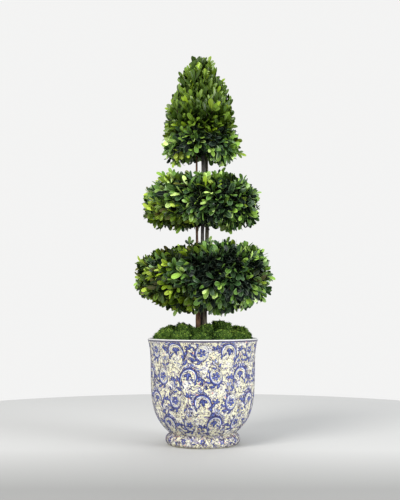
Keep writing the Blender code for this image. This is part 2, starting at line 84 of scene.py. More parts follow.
# The painted pattern: leafy scrolls and flower rounds, drawn in millimetres on the pot's skin.
# Across is round the pot at its body, down is along its outside from under the lip.
COLUMNS = 6
ROUND = math.tau * BODY_RADIUS * 1000.0
COLUMN = ROUND / COLUMNS
ROW_PITCH = 47.0
FIRST_ROW = 20.0
MEDALLION_REACH = 15.0
SPRIG_PITCH = 9.4
FOOT_SPRIGS = 420
FOOT_BAND = 13.0  # how far the foot's flowers lie below the neck
COMMA_PITCH = 7.8
# How far under the lip its dark lines lie: partly painted lines, partly painted shadow of the lip.
RIM_SHADOW_LINE = 1.0
PATTERN_TOP = 0.6
PATTERN_END = 1.5  # how far above the skin's lower end the strokes stop
EDGE_SUNK = -0.10
# Each paint's colour as sRGB shares, and how far its strokes stand proud.
PAINTS = {
    "white": Paint((0.90, 0.90, 0.90), 0.04),
    "violet": Paint((0.43, 0.39, 0.62), 0.10),
    "slate": Paint((0.36, 0.36, 0.42), 0.08),
    "blue": Paint((0.37, 0.44, 0.69), 0.13),
    "cobalt": Paint((0.22, 0.26, 0.52), 0.17),
    "navy": Paint((0.12, 0.09, 0.24), 0.20),
    "purple": Paint((0.22, 0.10, 0.26), 0.22),
    "pink": Paint((0.86, 0.64, 0.60), 0.22),
    "cream": Paint((0.95, 0.94, 0.88), 0.26),
    "olive": Paint((0.48, 0.45, 0.28), 0.10),
}
# A painted petal's outline and a leaf's rim: shares of the length, and of the width there.
PETAL_ROWS = (0.0, 0.12, 0.35, 0.62, 0.85, 0.97, 1.0)
PETAL_HALVES = (0.0, 0.16, 0.36, 0.50, 0.42, 0.20, 0.0)
RIM_ROWS = (0.0, 0.2, 0.45, 0.7, 0.9, 1.0)
RIM_HALVES = (0.0, 0.26, 0.46, 0.47, 0.28, 0.0)

INNER_MOSS_TOPS = (0.246, 0.247, 0.236, 0.242, 0.240, 0.237)
INNER_MOSS_RING = 0.043
INNER_MOSS_TURN = math.radians(-24)
INNER_MOSS_SIZE = (0.026, 0.027)  # half widths, outwards and sideways
OUTER_MOSS_TOPS = (0.229, 0.227, 0.236, 0.238, 0.229, 0.226, 0.229, 0.238, 0.232, 0.229, 0.227, 0.222)
OUTER_MOSS_RING = 0.0764
OUTER_MOSS_TURN = math.radians(-61)
OUTER_MOSS_SIZE = (0.0242, 0.0240)
MOSS_FOOT = 0.2003
# Bumps on a cushion: the way to each from its middle, outwards, sideways and up, and its rise.
MOSS_BUMPS = {"moss_inner_6": ((-0.20, 0.30, 0.93, 2.2), (-0.10, -0.72, 0.68, 2.0))}
MOSS_BUMP_WIDTH = 0.26
MOSS_BODY = ((0.12, 0.21, 0.07), (0.36, 0.48, 0.18))
SHOOT_AREA = 0.0000036  # of a cushion's surface, for each tuft
# The shoots' three tints are lit, middle and shaded copies of one moss green, for painted light and shade.
SHOOT_TINTS = {"bright": (0.68, 0.80, 0.34), "green": (0.47, 0.61, 0.25), "deep": (0.22, 0.35, 0.15)}

STEM_LEVELS = (0.2003, 0.240, 0.415, 0.550, 0.690)
STEM_ROW = 0.0022
STEM_SIDES = 26
STEM_CLEARANCE = 0.0012
# Each stem's top, its bark, and its (x, y, radius) at each of STEM_LEVELS.
STEMS = {
    "trunk_stem_1": Stem(0.640, Bark("red", (0.20, 0.12, 0.09), (0.62, 0.46, 0.34), 420.0), (
        (-0.0100, -0.0045, 0.0056), (-0.0096, -0.0045, 0.0048), (-0.0116, -0.0020, 0.0024),
        (-0.0123, -0.0005, 0.0020), (-0.0110, 0.0000, 0.0012),
    )),
    "trunk_stem_2": Stem(0.690, Bark("grey", (0.14, 0.14, 0.145), (0.52, 0.50, 0.49), 360.0), (
        (-0.0020, 0.0062, 0.0052), (-0.0014, 0.0056, 0.0045), (-0.0008, 0.0010, 0.0034),
        (0.0016, -0.0004, 0.0044), (-0.0030, 0.0010, 0.0018),
    )),
    "trunk_stem_3": Stem(0.620, Bark("olive", (0.14, 0.13, 0.11), (0.53, 0.50, 0.42), 380.0), (
        (0.0038, -0.0052, 0.0050), (0.0034, -0.0048, 0.0044), (0.0084, -0.0016, 0.0038),
        (0.0083, 0.0033, 0.0024), (0.0060, 0.0000, 0.0010),
    )),
    "trunk_stem_4": Stem(0.330, Bark("dark", (0.14, 0.12, 0.10), (0.38, 0.30, 0.24), 380.0), (
        (0.0078, 0.0062, 0.0024), (0.0066, 0.0062, 0.0020), (0.0060, 0.0085, 0.0014),
    )),
}
TWIG_BARK = Bark("twig", (0.13, 0.10, 0.06), (0.33, 0.26, 0.15), 500.0)
BARK_SPOTS = (0.44, 0.42, 0.37)

# Each tier is a turned outline, wider at one height, that falls off up and down.
# up and down are (height, power, exponent) of that fall. hollow is how far it draws back at the
# stems. lean is how its top and underside slope, to the left, the right and the back. sweep
# turns its sprays to the left, light makes their tints fresher, warm makes those at the left
# yellower, and arch is the (middle, half width, top) of an opening that leaves keep out of.
LEVEL = (0.0, 0.0, 0.0)
TIERS = {
    "lower_tier": {
        "node": "lower_tier_foliage", "centre": (0.0, 0.0), "level": 0.325, "radius": 0.134,
        "up": (0.071, 4.0, 0.25), "down": (0.062, 2.2, 0.4545), "hollow": {"up": 0.008, "down": 0.006},
        "lean": {"up": (-0.105, 0.035, 0.0), "down": (0.085, -0.010, 0.0)},
        "sprays": 350, "boughs": 26, "seed": 11, "sweep": 0.45, "light": -0.10, "warm": 1.0,
    },
    "middle_tier": {
        "node": "middle_tier_foliage", "centre": (-0.0026, 0.0), "level": 0.480, "radius": 0.115,
        "up": (0.055, 2.8, 0.357), "down": (0.049, 4.0, 0.25), "hollow": {"up": 0.006, "down": 0.010},
        "lean": {"up": LEVEL, "down": (0.0, 0.0, 0.12)}, "arch": (-0.0010, 0.014, 0.4330),
        "sprays": 255, "boughs": 20, "seed": 23, "sweep": 0.50, "light": 0.08, "warm": 0.18,
    },
    "top_cone": {
        "node": "top_cone_foliage", "centre": (-0.0036, 0.0), "level": 0.600, "radius": 0.077,
        "up": (0.170, 1.5, 0.60), "down": (0.043, 2.6, 0.385), "hollow": {"up": 0.0, "down": 0.012},
        "lean": {"up": LEVEL, "down": (0.0, 0.0, 0.30)}, "arch": (-0.0020, 0.014, 0.5730),
        "sprays": 270, "boughs": 22, "seed": 37, "sweep": 0.0, "light": 0.0, "warm": 0.24,
    },
}
HOLLOW_RADIUS = 0.042
ARCH_DROP = 0.010  # how much lower an arch is at its half width
BOUGH_INSETS = {"radius": 0.036, "up": 0.032, "down": 0.026}  # of the boughs' ends, within a tier
BOUGH_RISE = 0.012
BOUGH_SIZES = (0.0022, 0.0011)  # radii at the root and the tip
TWIG_SIZES = (0.0010, 0.00045)
TWIG_LENGTH = 0.040

# Single leaves that stand out of a tier: root and tip.
LOOSE_LEAVES = {
    "lower_tier": (
        ((-0.048, -0.020, 0.274), (-0.058, -0.024, 0.255)),
        ((0.020, -0.030, 0.276), (0.024, -0.034, 0.256)),
        ((0.046, -0.026, 0.395), (0.052, -0.026, 0.412)),
        ((-0.026, -0.010, 0.396), (-0.0265, -0.010, 0.414)),
        ((0.126, -0.020, 0.334), (0.1440, -0.022, 0.328)),
        ((-0.122, -0.018, 0.324), (-0.1380, -0.018, 0.316)),
        ((0.012, -0.060, 0.394), (0.016, -0.062, 0.410)),
        ((-0.062, 0.000, 0.280), (-0.072, -0.004, 0.266)),
    ),
    "middle_tier": (
        ((-0.074, -0.016, 0.530), (-0.0920, -0.018, 0.540)),
        ((-0.040, -0.034, 0.433), (-0.0520, -0.042, 0.4165)),
        ((0.102, 0.000, 0.500), (0.1180, 0.000, 0.503)),
        ((0.034, -0.010, 0.533), (0.044, -0.012, 0.551)),
        ((-0.060, 0.000, 0.536), (-0.068, 0.000, 0.552)),
        ((0.052, -0.020, 0.433), (0.056, -0.024, 0.416)),
    ),
    "top_cone": (
        ((0.0680, -0.012, 0.578), (0.0870, -0.012, 0.574)),
        ((0.0100, -0.004, 0.754), (0.0150, -0.004, 0.7745)),
        ((-0.0560, -0.012, 0.564), (-0.0600, -0.014, 0.549)),
        ((-0.0180, -0.006, 0.742), (-0.0260, -0.006, 0.760)),
        ((0.0330, 0.000, 0.717), (0.0440, 0.000, 0.731)),
        ((-0.0640, 0.000, 0.664), (-0.0760, 0.000, 0.672)),
        ((0.0180, -0.060, 0.650), (0.0145, -0.069, 0.673)),
        ((0.0200, -0.060, 0.650), (0.0330, -0.067, 0.668)),
    ),
}
LOOSE_FACE = (-0.3, -0.75, 0.6)
# The leaves at each of them: depth of tint, turn to the side and size.
LOOSE_TRIO = ((1, 0.0, 1.0), (3, 0.75, 0.8), (2, -0.7, 0.75))

LEAF_LENGTH = 0.0240
LEAF_SHAPE = 0.40  # width over length
LEAF_ROWS = (0.0, 0.09, 0.26, 0.47, 0.68, 0.85, 0.96, 1.0)
LEAF_HALVES = (0.0, 0.20, 0.60, 0.90, 1.00, 0.84, 0.48, 0.0)
PAIR_DEPTHS = (0.0, 0.0050, 0.0110, 0.0175, 0.0240, 0.0310, 0.0380)  # back from the twig's end
PAIR_TILTS = (16, 32, 45, 52, 58, 62, 64)  # degrees off the twig
PAIR_SIZES = (0.80, 0.98, 1.04, 1.0, 0.96, 1.0, 1.0)
LEAF_SHRINKS = (1.0, 0.88, 0.76)  # tried in turn, until a leaf keeps to its tier
TILES = 4  # the leaves' map has this many places each way, each a little lighter or darker

# Colours as sRGB shares, dealt out by spray, and how much each kind of leaf shines.
LEAF_TINTS = {
    "pale": Tint((0.69, 0.81, 0.43), 0.70),
    "fresh": Tint((0.48, 0.62, 0.21), 0.60),
    "mid": Tint((0.31, 0.45, 0.15), 0.48),
    "deep": Tint((0.17, 0.285, 0.13), 0.30),
    "shade": Tint((0.055, 0.115, 0.080), 0.16),
    "golden": Tint((0.46, 0.56, 0.10), 0.28),
    "warm": Tint((0.31, 0.41, 0.08), 0.25),
    "dusk": Tint((0.20, 0.29, 0.07), 0.20),
    "gloom": Tint((0.085, 0.145, 0.045), 0.12),
    "lime": Tint((0.64, 0.73, 0.24), 0.45),
    "sage": Tint((0.37, 0.48, 0.12), 0.38),
    "olive": Tint((0.31, 0.32, 0.11), 0.38),
    "rusty": Tint((0.27, 0.25, 0.10), 0.38),
}
# Three rows of tints, each from the freshest to the deepest; the deepest stand partly for painted shade
# inside a tier.
COOL_TINTS = ("pale", "fresh", "mid", "deep", "shade")
CONE_TINTS = ("golden", "sage", "warm", "dusk", "dusk")
WARM_TINTS = ("lime", "golden", "warm", "dusk", "gloom")
WARM_LIMIT = 0.45  # a spray warmer than this has warm tints
FRESH_STEPS = (0.64, 0.36, 0.12)  # a spray fresher than the first has the freshest tints
# What a leaf's rim adds to its colour: a painted highlight where its edge catches the light.
COOL_GLINT = (0.100, 0.128, 0.085)
WARM_GLINT = (0.045, 0.058, 0.006)

CAMERA_PLACE = (0.0, -1.65, 0.267)
CAMERA_LENS = 59.4
CAMERA_WIDTH = 36.0
CAMERA_SHIFT = (-0.0056, 0.12)
# Round lamps: place, target, width, power and colour.
LAMPS = {
    "key": ((-1.9, -2.6, 3.2), (0.0, 0.0, 0.40), 2.0, 161.0, (1.0, 0.985, 0.96)),
    "side": ((2.8, -1.7, 1.0), (0.0, 0.0, 0.15), 1.8, 104.0, (0.97, 0.985, 1.0)),
    "fill": ((-2.6, -1.3, 0.7), (0.0, 0.0, 0.12), 1.6, 22.0, (1.0, 0.99, 0.97)),
    "top": ((0.4, 0.6, 2.8), (0.0, 0.0, 0.20), 2.6, 40.0, (0.97, 0.985, 1.0)),
}
BACKDROP = (0.90, 0.90, 0.895, 1.0)
DAYLIGHT = (0.97, 0.985, 1.0, 1.0)
DAYLIGHT_POWER = 0.50
FLOOR_RADIUS = 0.98
FLOOR_SHADE_FADE = (-0.08, -0.42)  # along Y, from the back tone to the front tone: painted shade that darkens the floor towards the front
FLOOR_BACK = (0.735, 0.735, 0.730)
FLOOR_SHADED_FRONT = (0.56, 0.56, 0.555)

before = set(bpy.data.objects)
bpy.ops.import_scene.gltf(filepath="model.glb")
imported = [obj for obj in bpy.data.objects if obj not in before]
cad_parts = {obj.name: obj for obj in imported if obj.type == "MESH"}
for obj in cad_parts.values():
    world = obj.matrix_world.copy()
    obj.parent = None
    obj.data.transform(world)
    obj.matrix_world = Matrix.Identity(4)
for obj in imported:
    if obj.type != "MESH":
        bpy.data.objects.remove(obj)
CAD_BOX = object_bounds()


# --- helpers ---

def linear(colour):
    """An sRGB colour as the shader wants it."""
    return tuple(((c + 0.055) / 1.055) ** 2.4 if c > 0.04 else c / 12.92 for c in colour)


def scaled(colour, factor, more=0.0):
    """A colour made darker or lighter."""
    return tuple(min(1.0, c * factor + more) for c in colour)


def eased(low, high, value):
    """How far value has come from low to high, as 0 to 1, slow at both ends."""
    share = max(0.0, min(1.0, (value - low) / (high - low)))
    return share * share * (3.0 - 2.0 * share)


def make_mesh(name, points, faces):
    """A smooth mesh from arrays: points (n, 3) and faces (m, 3) or (m, 4)."""
    points = np.asarray(points, dtype=np.float32)
    faces = np.asarray(faces, dtype=np.int32)
    mesh = bpy.data.meshes.new(name)
    mesh.vertices.add(len(points))
    mesh.vertices.foreach_set("co", points.ravel())
    mesh.loops.add(faces.size)
    mesh.loops.foreach_set("vertex_index", faces.ravel())
    mesh.polygons.add(len(faces))
    mesh.polygons.foreach_set("loop_start", np.arange(0, faces.size, faces.shape[1], dtype=np.int32))
    mesh.polygons.foreach_set("use_smooth", np.full(len(faces), True))
    mesh.update(calc_edges=True)
    return mesh


def ring_faces(rings, sides):
    """Four-sided faces between rings of points that lie one after another."""
    low = np.arange(rings - 1)[:, None] * sides
    here = np.arange(sides)[None, :]
    after = (here + 1) % sides
    quads = np.stack([low + here, low + after, low + sides + after, low + sides + here], axis=-1)
    return quads.reshape(-1, 4)


def curve_through(points, steps):
    """A smooth run of steps + 1 points through a few."""
    path = []
    last = len(points) - 2
    for i in range(steps + 1):
        place = (len(points) - 1) * i / steps
        k = min(int(place), last)
        t = place - k
        a, b, c, d = points[max(k - 1, 0)], points[k], points[k + 1], points[min(k + 2, last + 1)]
        bend = (3 * b - a - 3 * c + d) * t ** 3 + (2 * a - 5 * b + 4 * c - d) * t ** 2
        path.append((bend + (c - a) * t + 2 * b) * 0.5)
    return path


def mesh_of(name, bm):
    """A mesh from a bmesh that is done with."""
    mesh = bpy.data.meshes.new(name)
    bm.to_mesh(mesh)
    bm.free()
    return mesh


def new_object(name, data):
    thing = bpy.data.objects.new(name, data)
    bpy.context.scene.collection.objects.link(thing)
    return thing


def add_piece(mesh, material, slot, *nodes):
    """A visible piece with its mesh's name, in place of the solids that are given."""
    piece = new_object(mesh.name, mesh)
    mesh.materials.append(material)
    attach(piece, "root")
    if nodes:
        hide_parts(*nodes)


def add_node(tree, kind, links=(), **values):
    """A node with its settings, and with a value or another node's socket for each input."""
    node = tree.nodes.new(kind)
    for key, value in values.items():
        setattr(node, key, value)
    for socket, source in dict(links).items():
        if isinstance(source, bpy.types.NodeSocket):
            tree.links.new(source, node.inputs[socket])
        else:
            node.inputs[socket].default_value = source
    return node


class Nodes:
    """A material's node tree, with short calls to add to it."""

    def __init__(self, name, roughness, specular):
        self.material = bpy.data.materials.new(name)
        self.material.use_nodes = True
        self.tree = self.material.node_tree
        self.shader = self.tree.nodes["Principled BSDF"]
        self.shader.inputs["Roughness"].default_value = roughness
        self.shader.inputs["Specular IOR Level"].default_value = specular

    def add(self, kind, links=(), **values):
        return add_node(self.tree, kind, links, **values)

    def place(self):
        """Where a point of the surface is, in its object's frame."""
        return self.add("ShaderNodeTexCoord").outputs["Object"]

    def split(self, vector):
        return self.add("ShaderNodeSeparateXYZ", {0: vector}).outputs

    def maths(self, operation, *values):
        return self.add("ShaderNodeMath", list(enumerate(values)), operation=operation).outputs[0]

    def times(self, product, *others):
        for other in others:
            product = self.maths("MULTIPLY", product, other)
        return product

    def away(self, value, middle):
        """How far value is from a middle, either way."""
        return self.maths("ABSOLUTE", self.maths("SUBTRACT", value, middle))

    def noise(self, vector, scale, detail, rough=0.55):
        links = {"Vector": vector, "Scale": scale, "Detail": detail, "Roughness": rough}
        return self.add("ShaderNodeTexNoise", links).outputs["Fac"]

    def stretch(self, low, high, value):
        """value's run from low to high, as 0 to 1."""
        return self.add("ShaderNodeMapRange", {0: value, 1: low, 2: high}).outputs[0]

    def mix(self, share, first, second):
        """From the first colour to the second, as share goes from 0 to 1."""
        links = {0: share}
        for socket, colour in ((6, first), (7, second)):
            links[socket] = colour if isinstance(colour, bpy.types.NodeSocket) else (*colour, 1.0)
        return self.add("ShaderNodeMix", links, data_type="RGBA").outputs[2]

    def colour(self, socket):
        self.tree.links.new(socket, self.shader.inputs["Base Color"])

    def bump(self, height, strength, distance):
        node = self.add("ShaderNodeBump", {"Height": height, "Strength": strength, "Distance": distance})
        self.tree.links.new(node.outputs[0], self.shader.inputs["Normal"])


# --- camera, light and floor ---

def set_camera():
    data = bpy.data.cameras.new("camera")
    data.lens = CAMERA_LENS
    data.sensor_width = CAMERA_WIDTH
    data.shift_x, data.shift_y = CAMERA_SHIFT
    data.clip_start = 0.01
    camera = new_object("camera", data)
    camera.location = CAMERA_PLACE
    camera.rotation_euler = (math.radians(90), 0.0, 0.0)
    bpy.context.scene.camera = camera


def add_lamp(name, place, target, size, power, colour):
    data = bpy.data.lights.new(name, "AREA")
    data.shape = "DISK"
    data.size = size
    data.energy = power
    data.color = colour
    lamp = new_object(name, data)
    lamp.location = place
    lamp.rotation_euler = (Vector(target) - Vector(place)).to_track_quat("-Z", "Y").to_euler()


def set_world():
    """White behind the object, and a softer light from all round."""
    world = bpy.data.worlds.new("studio")
    bpy.context.scene.world = world
    world.use_nodes = True
    tree = world.node_tree
    tree.nodes.clear()
    seen = add_node(tree, "ShaderNodeBackground", {"Color": BACKDROP}).outputs[0]
    lit = add_node(tree, "ShaderNodeBackground", {"Color": DAYLIGHT, "Strength": DAYLIGHT_POWER}).outputs[0]
    in_view = add_node(tree, "ShaderNodeLightPath").outputs["Is Camera Ray"]
    both = add_node(tree, "ShaderNodeMixShader", {0: in_view, 1: lit, 2: seen}).outputs[0]
    add_node(tree, "ShaderNodeOutputWorld", {0: both})


def add_floor():
    """A plain, pale, round floor, with painted shade that darkens it towards the front."""
    bm = bmesh.new()
    bmesh.ops.create_circle(bm, cap_ends=True, segments=256, radius=FLOOR_RADIUS)
    floor = new_object("floor", mesh_of("floor", bm))
    look = Nodes("floor", 0.55, 0.3)
    # Painted shade: the floor's tone darkens from the back to the front.
    ahead = look.stretch(*FLOOR_SHADE_FADE, look.split(look.place())[1])
    look.colour(look.mix(ahead, linear(FLOOR_BACK), linear(FLOOR_SHADED_FRONT)))
    floor.data.materials.append(look.material)
    floor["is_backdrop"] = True


# --- pot ---

def pot_outer_radius(height):
    """Radius of the pot's outside between its neck and its lip."""
    if height >= FLARE_START:
        rise = (height - FLARE_START) / (POT_HEIGHT - FLARE_START)
        return BODY_RADIUS + (RIM_RADIUS - BODY_RADIUS) * rise ** FLARE_POWER
    rise = (height - NECK_HEIGHT) / (FLARE_START - NECK_HEIGHT)
    belly = 1.0 - (1.0 - rise) ** BELLY_POWER
    share = (1.0 - BODY_TAPER) * belly + BODY_TAPER * rise
    return NECK_RADIUS + (BODY_RADIUS - NECK_RADIUS) * share


def foot_point(turn):
    """A point of the foot's bead, at a turn round its section."""
    radius = FOOT_BEAD_CENTRE + FOOT_BEAD_WIDTH * math.cos(turn)
    return radius, FOOT_BEAD_HEIGHT * (1.0 + math.sin(turn))


def outside_profile(steps, gather, bead_steps):
    """(radius, height) points down the outside to the neck, and then round the foot's bead.

    The more gather is, the closer the points lie towards the neck.
    """
    body = []
    for i in range(steps + 1):
        share = 1.0 - (1.0 - i / steps) ** gather
        height = LIP_LEVEL + (NECK_HEIGHT - LIP_LEVEL) * share
        body.append((pot_outer_radius(height), height))
    bead = []
    for i in range(bead_steps + 1):
        bead.append(foot_point(FOOT_BEAD_START + (FOOT_BEAD_END - FOOT_BEAD_START) * i / bead_steps))
    return body, bead


def pot_profile():
    """The pot's whole section, from the middle of its inside floor round to its underside."""
    lip = WALL / 2
    middle = RIM_RADIUS - lip
    floor_level = NECK_HEIGHT + FLOOR_THICKNESS
    wall_foot = floor_level + 0.004
    profile = [(0.0, floor_level), (pot_outer_radius(floor_level + 0.002) - WALL, floor_level + 0.001)]
    for i in range(17):
        height = wall_foot + (LIP_LEVEL - floor_level - 0.004) * i / 16
        profile.append((pot_outer_radius(height) - WALL, height))
    for i in range(1, 12):
        turn = math.pi * (1.0 - i / 12)
        profile.append((middle + lip * math.cos(turn), LIP_LEVEL + lip * math.sin(turn)))
    body, bead = outside_profile(44, 1.7, 14)
    edge = bead[-1][0] - FOOT_EDGE
    return profile + body + bead + [(edge, 0.0), (edge - 0.012, 0.0), (edge - 0.016, 0.004), (0.0, 0.004)]


def lathe(profile, steps):
    """Points and four-sided faces of a profile turned about Z."""
    profile = np.array(profile)
    turns = np.arange(steps) * (math.tau / steps)
    rings = np.empty((len(profile), steps, 3))
    rings[:, :, 0] = profile[:, :1] * np.cos(turns)
    rings[:, :, 1] = profile[:, :1] * np.sin(turns)
    rings[:, :, 2] = profile[:, 1:]
    return rings.reshape(-1, 3), ring_faces(len(profile), steps)[:, [0, 3, 2, 1]]


def glazed(name, roughness, specular):
    """A material under a clear glaze."""
    look = Nodes(name, roughness, specular)
    look.shader.inputs["Coat Weight"].default_value = 0.2
    look.shader.inputs["Coat Roughness"].default_value = 0.10
    return look


def below_top(depths):
    """Heights that lie so far below the pot's top."""
    return [POT_HEIGHT - depth for depth in depths]


def scribbled(look, place, ground):
    """Fine curly lines over the glaze, from the dark line at the lip down, and none inside. The dark line is
    partly a painted line, partly painted shadow under the lip.
    """
    x, y, height = look.split(place)
    flat = look.add("ShaderNodeCombineXYZ", {0: x, 1: y}).outputs[0]
    radius = look.add("ShaderNodeVectorMath", {0: flat}, operation="LENGTH").outputs["Value"]
    # The dark line at the lip: partly a painted line, partly painted shadow under the lip.
    under = look.stretch(*below_top(LIP_SHADOW_LINE_TOP), height)
    over = look.stretch(*below_top(LIP_SHADOW_LINE_FOOT), height)
    beyond = look.stretch(*(RIM_RADIUS - depth for depth in LIP_SHADOW_LINE_SIDE), radius)
    ground = look.mix(look.times(under, over, beyond), ground, linear(PAINTS["slate"].colour))
    low = look.stretch(*below_top(SCRIBBLES_TOP), height)
    where = look.times(low, look.stretch(*SCRIBBLES_RADII, radius))
    for scale, colour in SCRIBBLES:
        away = look.away(look.noise(place, scale, 2.0, 0.4), 0.5)
        line = look.stretch(SCRIBBLE_WIDTH, SCRIBBLE_WIDTH * 0.4, away)
        ground = look.mix(look.times(line, where, 0.62), ground, linear(colour))
    return ground


def glaze_look():
    look = glazed("glazed_ceramic", 0.28, 0.35)
    place = look.place()
    cloud = look.stretch(0.34, 0.50, look.noise(place, 55.0, 3.0))
    fine = look.stretch(0.40, 0.75, look.noise(place, 420.0, 2.0))
    ground = look.mix(cloud, linear((0.89, 0.89, 0.87)), linear((0.90, 0.885, 0.735)))
    ground = look.mix(look.times(fine, 0.6), ground, linear((0.82, 0.81, 0.78)))
    lip = look.stretch(*below_top(LIP_GLAZE), look.split(place)[2])
    ground = look.mix(lip, ground, linear((0.84, 0.84, 0.83)))
    look.colour(scribbled(look, place, ground))
    look.bump(look.noise(place, 90.0, 2.0), 0.15, 0.0004)
    return look.material


# --- painted pattern ---

class Brush:
    """Strokes drawn flat, moved and turned as a group, and kept by paint."""

    def __init__(self):
        self.strokes = {name: [] for name in PAINTS}
        self.place(0.0, 0.0)

    def place(self, across, down, turn=0.0, size=1.0, flip=1.0):
        c, s = math.cos(turn) * size, math.sin(turn) * size
        self.matrix = np.array([[c * flip, -s], [s * flip, c]])
        self.offset = np.array([across, down])

    def keep(self, paint, points, lifts, faces):
        self.strokes[paint].append((points @ self.matrix.T + self.offset, np.array(lifts), np.array(faces)))

    def line(self, paint, path, halves, over=0.0):
        """A stroke that swells and thins, a little proud along its middle."""
        path = np.asarray(path, dtype=float)
        count = len(path)
        halves = np.broadcast_to(halves, count)
        along = np.gradient(path, axis=0)
        along /= np.linalg.norm(along, axis=1, keepdims=True) + 1e-9
        side = np.stack([-along[:, 1], along[:, 0]], axis=1) * halves[:, None]
        points = np.stack([path - side, path, path + side], axis=1).reshape(-1, 2)
        faces = []
        for a in range(0, 3 * count - 3, 3):
            for k in (a, a + 1):
                faces += [(k, k + 1, k + 4), (k, k + 4, k + 3)]
        self.keep(paint, points, [EDGE_SUNK, PAINTS[paint].lift + over, EDGE_SUNK] * count, faces)

    def blot(self, paint, outline, over=0.0):
        """A filled shape, raised in its middle."""
        outline = np.asarray(outline, dtype=float)
        middle = outline.mean(axis=0)
        count = len(outline)
        points = np.concatenate([outline, middle + (outline - middle) * 0.78, middle[None]])
        faces = []
        for i in range(count):
            k = (i + 1) % count
            faces += [(i, k, count + k), (i, count + k, count + i), (count + i, count + k, 2 * count)]
        lift = PAINTS[paint].lift + over
        self.keep(paint, points, [EDGE_SUNK] * count + [lift] * (count + 1), faces)

    def dot(self, paint, x, y, radius):
        turns = np.arange(7) * (math.tau / 7)
        self.blot(paint, np.stack([x + radius * np.cos(turns), y + radius * np.sin(turns)], axis=1))

    def petal(self, paint, x, y, turn, length, width, bend=0.0, over=0.0):
        """A leaf or petal from a point, round at its far end."""
        t = np.array(PETAL_ROWS + PETAL_ROWS[-2:0:-1])
        half = np.array(PETAL_HALVES + tuple(-share for share in PETAL_HALVES[-2:0:-1]))
        self.blot(paint, bowed(x, y, turn, length, bend, t, half * width), over)

    def rim(self, paint, x, y, turn, length, width, bend, thick):
        """The two sides of a leaf as thin lines."""
        t = np.array(RIM_ROWS)
        for side, peak in ((1.0, 0.6), (-1.0, 0.3)):
            path = bowed(x, y, turn, length, bend, t, side * np.array(RIM_HALVES) * width)
            self.line(paint, path, swelling(len(t), thick * 0.45, thick, peak))


def bent(x, y, turn, ahead, across):
    """Points so far ahead and across of a place, seen along a direction."""
    c, s = math.cos(turn), math.sin(turn)
    return np.stack([x + ahead * c - across * s, y + ahead * s + across * c], axis=1)


def bowed(x, y, turn, length, bend, t, across=0.0):
    """Points at shares t of a line that bends aside the further it goes."""
    return bent(x, y, turn, t * length, across + bend * t * t * length)


def coil(x, y, start, end, turn, sweep, steps):
    """A path that winds from one radius to another."""
    share = np.linspace(0.0, 1.0, steps)
    radius = start + (end - start) * share ** 0.85
    angle = turn + sweep * share
    return np.stack([x + radius * np.cos(angle), y + radius * np.sin(angle)], axis=1)


def swelling(steps, thin, thick, peak):
    """Half widths that swell to a peak and thin out again."""
    share = np.linspace(0.0, 1.0, steps)
    rise = np.where(share < peak, share / peak, (1.0 - share) / (1.0 - peak))
    return thin + (thick - thin) * np.sin(rise * math.pi / 2) ** 1.3


def leaf_stroke(brush, x, y, turn, length, width, bend, paint="cobalt"):
    """A painted leaf: a full shape, a paler streak and a dark outline."""
    brush.petal(paint, x, y, turn, length, width, bend)
    pale, over = ("blue", 0.06) if paint == "cobalt" else ("cream", 0.0)
    x_in, y_in = x + 0.8 * math.cos(turn), y + 0.8 * math.sin(turn)
    brush.petal(pale, x_in, y_in, turn + bend * 0.2, length * 0.62, width * 0.40, bend, over)
    brush.rim("navy", x, y, turn, length, width, bend, 0.62)


def outlined_leaf(brush, x, y, turn, length, width, bend, paint="navy"):
    """A leaf that is only an outline with a vein."""
    brush.rim(paint, x, y, turn, length, width, bend, 0.60)
    brush.line("violet", bowed(x, y, turn, length, bend, np.array([0.0, 0.3, 0.6, 0.8])), 0.30)


def flower(brush, x, y, petals, reach, wide, turn):
    for i in range(petals):
        way = turn + math.tau * i / petals
        c, s = math.cos(way), math.sin(way)
        brush.petal("cobalt", x + 0.5 * c, y + 0.5 * s, way, reach, wide)
        x_out, y_out = x + reach * 0.42 * c, y + reach * 0.42 * s
        brush.petal("blue", x_out, y_out, way + 0.2, reach * 0.50, wide * 0.36, 0.0, 0.06)
        between = way + math.pi / petals
        radii = np.array([0.8, reach * 0.5, reach * 0.85])
        path = np.stack([x + radii * math.cos(between), y + radii * math.sin(between)], axis=1)
        brush.line("navy", path, 0.55)
    brush.dot("cream", x, y, 1.1)
    brush.dot("purple", x, y, 0.7)


def curl(brush, x, y, radius, turn, way, paint):
    path = coil(x, y, radius, radius * 0.22, turn, way * 4.6, 11)
    brush.line(paint, path, swelling(11, 0.35, 0.95, 0.35))
    brush.dot("purple", *path[-1], 0.8)


def feathers(brush, path, first, last, length):
    """Short tapered strokes that fan off the outer side of a scroll's thick part."""
    for k in range(first, last):
        share = (k - first) / (last - 1 - first)
        ahead = path[k + 1] - path[k - 1]
        way = math.atan2(ahead[1], ahead[0]) - 0.75
        reach = length * (0.50 + 0.50 * math.sin(share * math.pi))
        root = path[k] + np.array([ahead[1], -ahead[0]]) / np.linalg.norm(ahead) * 1.2
        brush.petal(("cobalt", "blue", "violet")[k % 3], *root, way, reach, 2.6, 0.16)
        along, across = np.array([0.0, 0.5, 0.9]) * reach, np.array([0.0, 0.05, 0.15]) * reach
        brush.line("navy", bent(*root, way, along, across), 0.42)


def smooth_stroke(points, steps):
    """A smooth path through a few points, drawn flat."""
    return np.array(curve_through([np.array(point, dtype=float) for point in points], steps))


